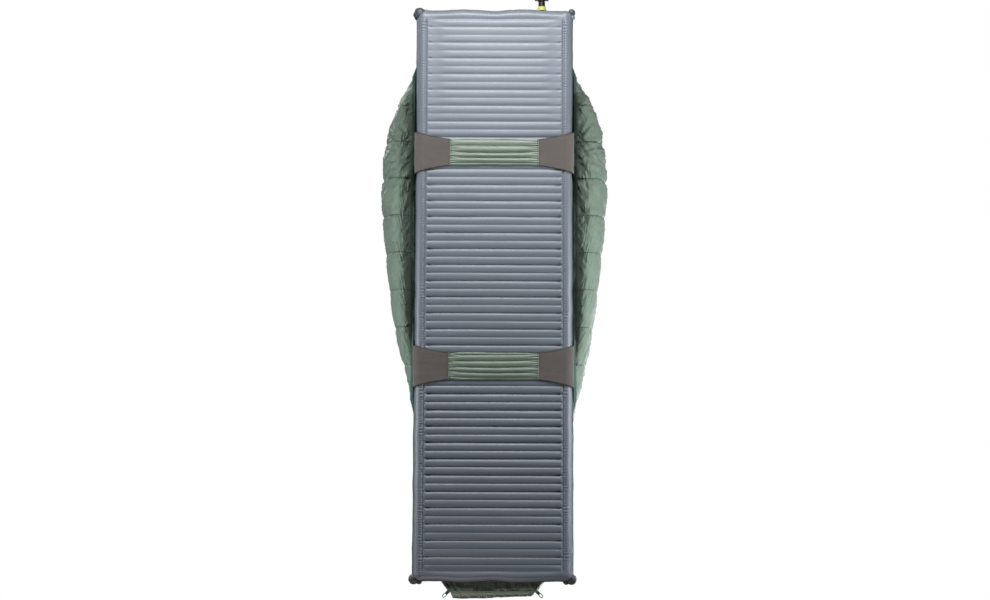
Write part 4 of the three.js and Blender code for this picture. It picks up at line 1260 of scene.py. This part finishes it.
def build_hang_loop(side):
    """A cord loop whose two ends are sewn into the foot's corner."""
    name = side_name(side)
    low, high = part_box(f"hang_loop_{name}")
    centre = np.array([(low.x + high.x) / 2, (low.y + high.y) / 2, (low.z + high.z) / 2])
    joint = next(j for j in frame["joints"] if j["name"] == f"{name}_loop_swing")
    root = np.array(joint["pos_m"])
    away = centre - root
    away[2] = 0
    away /= np.linalg.norm(away)
    across = np.array([-away[1], away[0], 0.0])
    reach = 15.5 * MM
    t = np.linspace(0, TAU, 80)
    out = reach / 2 * (1 - np.cos(t)) - 5 * MM * (1 - np.sin(t / 2))
    wide = 5.4 * MM * np.sin(t) * np.sin(t / 2) ** 0.6
    path = root + away * out[:, None] + across * wide[:, None]
    path[:, 2] += 1.2 * MM * np.sin(t)
    loop = cord_object(f"foot_loop_cord_{name}", path, 1.35 * MM, step=0.7 * MM, sides=12, lobes=3,
                       twist=0.009)
    place_piece(loop, f"{name}_loop", CORD, [f"hang_loop_{name}"])
    spread = np.linspace(-1, 1, 11)[:, None]
    thick = 1.6 * MM
    tab = []
    for s in np.linspace(-1, 1, 7):
        width = across * ((5.5 - 0.8 * s) * MM * spread)
        tab.append(root + away * (-9.5 * MM + 12 * MM * s) + width + np.array([0, 0, thick / 2]))
    patch = slab_object(f"foot_loop_tab_{name}", np.array(tab), thick)
    place_piece(patch, "quilt", BINDING)


# ---- The straps ----

SLEEVE_SEED = {"upper": 121, "lower": 131}
PANEL_SEED = {"upper": 141, "lower": 151}
PANEL_PULL = {"upper": 0.8, "lower": 1.3}
PANEL_START = 138.5 * MM
SLEEVE_HALF = 41.3 * MM  # half the length of a panel's short side


def build_sleeve(place):
    """A gathered tube of shell fabric with long folds, which stands for the elastic inside it too."""
    low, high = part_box(f"{place}_strap_sleeve")
    seed = SLEEVE_SEED[place]
    middle, half = (low.y + high.y) / 2, (high.y - low.y) / 2
    xs = np.linspace(low.x, high.x, 150)[:, None]
    v = np.linspace(-1, 1, 101)[None, :]
    waist = 0.03 * np.cos(math.pi * xs / high.x) ** 2
    edge = half * (1 + 0.035 * noise(xs / 0.035, 0, seed) - waist)
    y = v * edge + 1.2 * MM * noise(xs / 0.07, v * 4, seed + 1)
    end = smoothstep(np.abs(xs), high.x - 0.045, high.x)
    warp = y + 5 * MM * noise(xs / 0.24, y / 0.03, seed + 2)
    strip = warp / 0.0175
    uneven = 0.72 + 0.4 * noise(xs / 0.3, np.floor(strip) * 3.7, seed + 4)
    long = np.abs(np.sin(math.pi * strip)) ** 0.5 * uneven
    short = np.abs(np.sin(math.pi * (y / 0.0071 + 0.4 * noise(y / 0.02, 0, seed + 5)))) ** 0.6
    outer = np.abs(v) ** 8
    swell = 6.8 * MM * long * (1 - 0.7 * end) + 2.4 * MM * short * (0.08 + 0.92 * end)
    swell = swell * (1 - outer)
    under = low.z + 2.2 * MM - swell - 0.9 * MM * outer
    over = high.z - 0.1 * MM - 0.9 * MM * outer
    bottom = np.stack(np.broadcast_arrays(xs, middle + y, under), axis=-1)
    top = np.stack(np.broadcast_arrays(xs, middle + y, over), axis=-1)[:, ::-1]
    sleeve = loop_object(f"{place}_strap_gathered_sleeve", np.concatenate([bottom, top], axis=1))
    nodes = [f"{place}_strap_sleeve", f"{place}_strap_elastic"]
    place_piece(sleeve, "quilt", SLEEVE, nodes)


def strap_path(box_high, bottom):
    """The way of a stretch panel round the pad's lower edge: x, z and length."""
    corner_x, corner_z = pad.half_x - pad.EDGE - 2.5 * MM, pad.bottom + pad.EDGE
    radius = corner_z - bottom
    flat = np.linspace(PANEL_START, corner_x, 40)[:-1]
    angle = np.linspace(0, math.pi / 2, 26)
    rise = np.linspace(corner_z, box_high, 24)[1:]
    share = (rise - corner_z) / (box_high - corner_z)
    outward = corner_x + radius + 2 * MM * share**2
    x = np.concatenate([flat, corner_x + radius * np.sin(angle), outward])
    z = np.concatenate([np.full(len(flat), bottom), corner_z - radius * np.cos(angle), rise])
    length = np.concatenate([[0], np.cumsum(np.hypot(np.diff(x), np.diff(z)))])
    return x, z, length


def build_panel(place, side):
    """A stretch panel that flares from the sleeve to the hem, with bound edges and a little pull in it."""
    name = f"{place}_strap_panel_{side_name(side)}"
    low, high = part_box(name)
    middle = (low.y + high.y) / 2
    x, z, length = strap_path(high.z, low.z + 0.1 * MM)
    share = np.clip(length / 0.118, 0, 1)
    half = SLEEVE_HALF + (high.y - middle - SLEEVE_HALF - 0.6 * MM) * share**1.45
    v = np.linspace(-1, 1, 49)[:, None]
    seed = PANEL_SEED[place] + (side > 0) * 3
    across = v * half[None, :]
    pull = 0.55 * MM * noise(length[None, :] / 0.07, across / 0.014, seed, 2)
    pull = pull * (1 - np.abs(v) ** 4) * PANEL_PULL[place]
    out_x, out_z = np.gradient(z, length), -np.gradient(x, length)
    lift = np.clip(pull, -0.1 * MM, 0.5 * MM) * smoothstep(length, 0, 0.01)[None, :]
    px = x[None, :] + out_x[None, :] * lift
    pz = z[None, :] + out_z[None, :] * lift
    points = np.stack([side * px, middle + across, np.maximum(pz, 0.2 * MM)], axis=-1)
    weave = np.stack(np.broadcast_arrays(length[None, :] + 0 * across, across), axis=-1)
    if side > 0:
        points, weave = points[::-1], weave[::-1]
    panel = slab_object(f"{name}_knit", points, 1.0 * MM, weave)
    place_piece(panel, "quilt", STRETCH, [name])
    turn = round_angles(10)[None, :, None]
    normal = np.stack([side * out_x, 0 * x, out_z], axis=-1)[:, None]
    for end, word in ((-1, "foot"), (1, "head")):
        path = np.stack([side * x, middle + end * half, z], axis=-1)[:, None]
        wide = np.cos(turn) * np.array([0, 1.5 * MM, 0])
        ring = path + wide + (0.75 * MM * np.sin(turn) - 0.5 * MM) * normal
        ring[..., 2] = np.maximum(ring[..., 2], 0.05 * MM)
        cloth = np.stack(np.broadcast_arrays(length[:, None], turn[..., 0] * 0.001), axis=-1)
        edge = loop_object(f"{name}_edge_{word}", ring, cloth, flip=side > 0)
        place_piece(edge, "quilt", STRETCH_EDGE)
    build_strap_joint(place, side, middle)


def build_strap_joint(place, side, middle):
    """Where panel and sleeve meet: a folded strip, a seam line and ladder stitches."""
    name = f"{place}_strap_joint_{side_name(side)}"
    ys = np.linspace(-41.5 * MM, 41.5 * MM, 70)[:, None]
    turn = round_angles(12)[None, :]
    x = 139.2 * MM + 2.4 * MM * np.cos(turn) + 0.2 * MM * noise(ys / 0.01, 0, 161)
    z = 0.95 * MM + 0.75 * MM * np.sin(turn) + 0.12 * MM * noise(ys / 0.006, 1, 162)
    points = np.stack(np.broadcast_arrays(side * x, middle + ys, z), axis=-1)
    strip = loop_object(name, points, flip=side > 0)
    place_piece(strip, "quilt", SLEEVE)
    along = np.linspace(-41 * MM, 41 * MM, 60) + middle
    wavy = 0.1 * MM - 0.5 * MM * np.abs(np.sin(along / 0.0023))
    seam = np.stack([np.full(60, side * 137.0 * MM), along, wavy], axis=-1)
    seam = cord_object(f"{name}_seam", seam, 0.75 * MM)
    place_piece(seam, "quilt", DARK_THREAD)
    inner, outer, level = side * 137.6 * MM, side * 141.9 * MM, 0.3 * MM
    at = np.arange(-39 * MM, 39.5 * MM, 3.0 * MM) + middle
    starts = [(inner, y, 0.22 * MM) for y in at] + [(outer, y, level) for y in at]
    ends = [(side * 141.6 * MM, y + 0.5 * MM, level) for y in at]
    ends += [(outer, y + 2.4 * MM, level) for y in at]
    row = stitches(f"{name}_stitching", starts, ends, 0.28 * MM)
    place_piece(row, "quilt", DARK_THREAD)


build_shell()
build_liner()
build_foot_end("foot_end_puff", FOOT, ["foot_end_cover", "foot_end_fill"],
               first=SHELL_INSET, inward=20 * MM, depth=-19.5 * MM, bulge=-5.5 * MM, floor=1 * MM,
               outside=True)
build_foot_end("foot_end_inside", LINER, ["foot_end_liner"],
               first=LINER_INSET, inward=8 * MM, depth=5 * MM, bulge=4 * MM, floor=15 * MM,
               outside=False)
build_footbox_floor()
build_neck()
keep_node("neck_snap_stud", BLACK)
keep_node("neck_snap_socket", BLACK)
for side in (1, -1):
    build_hem(side)
    build_neck_tab(side)
    build_hang_loop(side)
for place in ("upper", "lower"):
    build_sleeve(place)
    for side in (1, -1):
        build_panel(place, side)


# ---- Light, floor and camera ----

def build_world():
    """White to the camera, and a soft fill for everything else."""
    world = bpy.data.worlds.new("studio")
    bpy.context.scene.world = world
    world.use_nodes = True
    tree = world.node_tree
    fill = tree.nodes["Background"]
    fill.inputs["Color"].default_value = (0.92, 0.96, 1.0, 1)
    fill.inputs["Strength"].default_value = 0.08
    white = tree.nodes.new("ShaderNodeBackground")
    white.inputs["Color"].default_value = (1, 1, 1, 1)
    white.inputs["Strength"].default_value = 1.0
    path = tree.nodes.new("ShaderNodeLightPath")
    mix = tree.nodes.new("ShaderNodeMixShader")
    tree.links.new(path.outputs["Is Camera Ray"], mix.inputs["Fac"])
    tree.links.new(fill.outputs[0], mix.inputs[1])
    tree.links.new(white.outputs[0], mix.inputs[2])
    tree.links.new(mix.outputs[0], tree.nodes["World Output"].inputs["Surface"])


def softbox(name, place, target, size, power, colour=(1, 1, 1)):
    light = bpy.data.lights.new(name, "AREA")
    light.shape, light.size, light.size_y = "RECTANGLE", size[0], size[1]
    light.energy, light.color = power, colour
    lamp = link_object(name, light)
    lamp.location = place
    lamp.rotation_mode = "QUATERNION"
    lamp.rotation_quaternion = (Vector(target) - Vector(place)).to_track_quat("-Z", "Y")
    lamp.visible_camera = False
    return lamp


def light_only(lamp, words):
    """Keep a lamp's light on the pieces whose names start with one of the words."""
    lit = bpy.data.collections.new(lamp.name + "_lit")
    for piece in bpy.context.scene.objects:
        if piece.type == "MESH" and piece.name.startswith(words):
            lit.objects.link(piece)
    lamp.light_linking.receiver_collection = lit


FLOOR_LEVEL = -0.006
FLOOR_REACH = 14.0


def build_floor():
    """A pale floor that only shows from above, so that the object can be seen from below."""
    mesh = bpy.data.meshes.new("floor")
    ways = ((-1, -1), (1, -1), (1, 1), (-1, 1))
    corners = [(x * FLOOR_REACH, y * FLOOR_REACH, FLOOR_LEVEL) for x, y in ways]
    mesh.from_pydata(corners, [], [(0, 1, 2, 3)])
    floor = link_object("floor", mesh)
    look = Look("floor", 0.9)
    look.surface.inputs["Base Color"].default_value = (0.5, 0.5, 0.49, 1)
    look.surface.inputs["Emission Color"].default_value = (1, 1, 0.99, 1)
    look.surface.inputs["Emission Strength"].default_value = 0.45
    back = look.node("NewGeometry").outputs["Backfacing"]
    clear = look.node("BsdfTransparent")
    mix = look.node("MixShader", back, look.surface.outputs[0], clear.outputs[0])
    look.feed(look.tree.nodes["Material Output"].inputs["Surface"], mix.outputs[0])
    mesh.materials.append(look.material)
    floor.visible_shadow = floor.visible_diffuse = False
    floor.visible_glossy = floor.visible_transmission = False


IMAGE_WIDTH = 990  # pixels
PIXEL = 3.155 * MM  # size of a pixel at the object
DISTANCE = 6.0
TIP, ROLL = math.radians(4.9), math.radians(0.22)


def build_camera():
    """Square to the pad's underside from well below it, tipped a little towards the foot, head end up."""
    data = bpy.data.cameras.new("camera")
    camera = link_object("camera", data)
    data.sensor_width = 36
    data.lens = DISTANCE * data.sensor_width / (IMAGE_WIDTH * PIXEL)
    data.clip_start, data.clip_end = 0.05, 60
    toward = Vector((0, math.sin(TIP), math.cos(TIP)))
    centre = Vector((-0.004, -0.021, 0.02))
    camera.location = centre - toward * DISTANCE
    up = Vector((0, math.cos(TIP), -math.sin(TIP)))
    right = toward.cross(up)
    camera.rotation_mode = "QUATERNION"
    square = Matrix((right, up, -toward)).transposed().to_quaternion()
    camera.rotation_quaternion = square @ Quaternion((0, 0, 1), ROLL)
    bpy.context.scene.camera = camera


PAD_PIECES = ("pad", "valve", "upper_strap", "lower_strap")
QUILT_PIECES = ("quilt", "hem", "neck", "foot", "hang", "cord", "snap")
WARM = (1.0, 0.97, 0.93)
WIDE, SMALL = (0.8, 0.4), (0.6, 0.3)
HEAD_LOW = (0.0, 1.86, -1.1)


def build_lamps():
    """Soft boxes from below, some for the pad's pieces and some for the quilt's, and two from above."""
    for lamp in (
        softbox("head_low", HEAD_LOW, (0, 0.25, 0), WIDE, 46, WARM),
        softbox("middle_low", (0.0, 0.9, -1.0), (0, 0.1, 0), WIDE, 7.5),
        softbox("left_low", (1.45, -0.2, -0.27), (0.3, -0.15, 0.15), (1.0, 0.4), 15),
        softbox("right_low", (-1.45, -0.2, -0.27), (-0.3, -0.15, 0.15), (1.0, 0.4), 24),
    ):
        light_only(lamp, PAD_PIECES)
    for lamp in (
        softbox("head_quilt", HEAD_LOW, (0, 0.25, 0), (0.5, 0.3), 34, WARM),
        softbox("left_quilt", (1.15, -0.35, -0.8), (0.3, -0.05, 0.15), SMALL, 29),
        softbox("right_quilt", (-1.15, -0.35, -0.8), (-0.3, -0.05, 0.15), SMALL, 46),
    ):
        lamp.visible_glossy = False  # no glints along the hem from behind
        light_only(lamp, QUILT_PIECES)
    softbox("foot_low", (0.15, -1.6, -0.24), (0, -0.97, 0.12), SMALL, 2.8, (1.0, 0.88, 0.82))
    softbox("top", (-1.4, -1.0, 3.6), (0, 0, 0.1), (2.6, 2.6), 160)
    softbox("top_head", (1.8, 2.2, 2.6), (0, 0.2, 0.2), (1.8, 1.8), 70)


build_world()
build_lamps()
build_floor()
build_camera()
bpy.context.scene.view_settings.view_transform = "Standard"
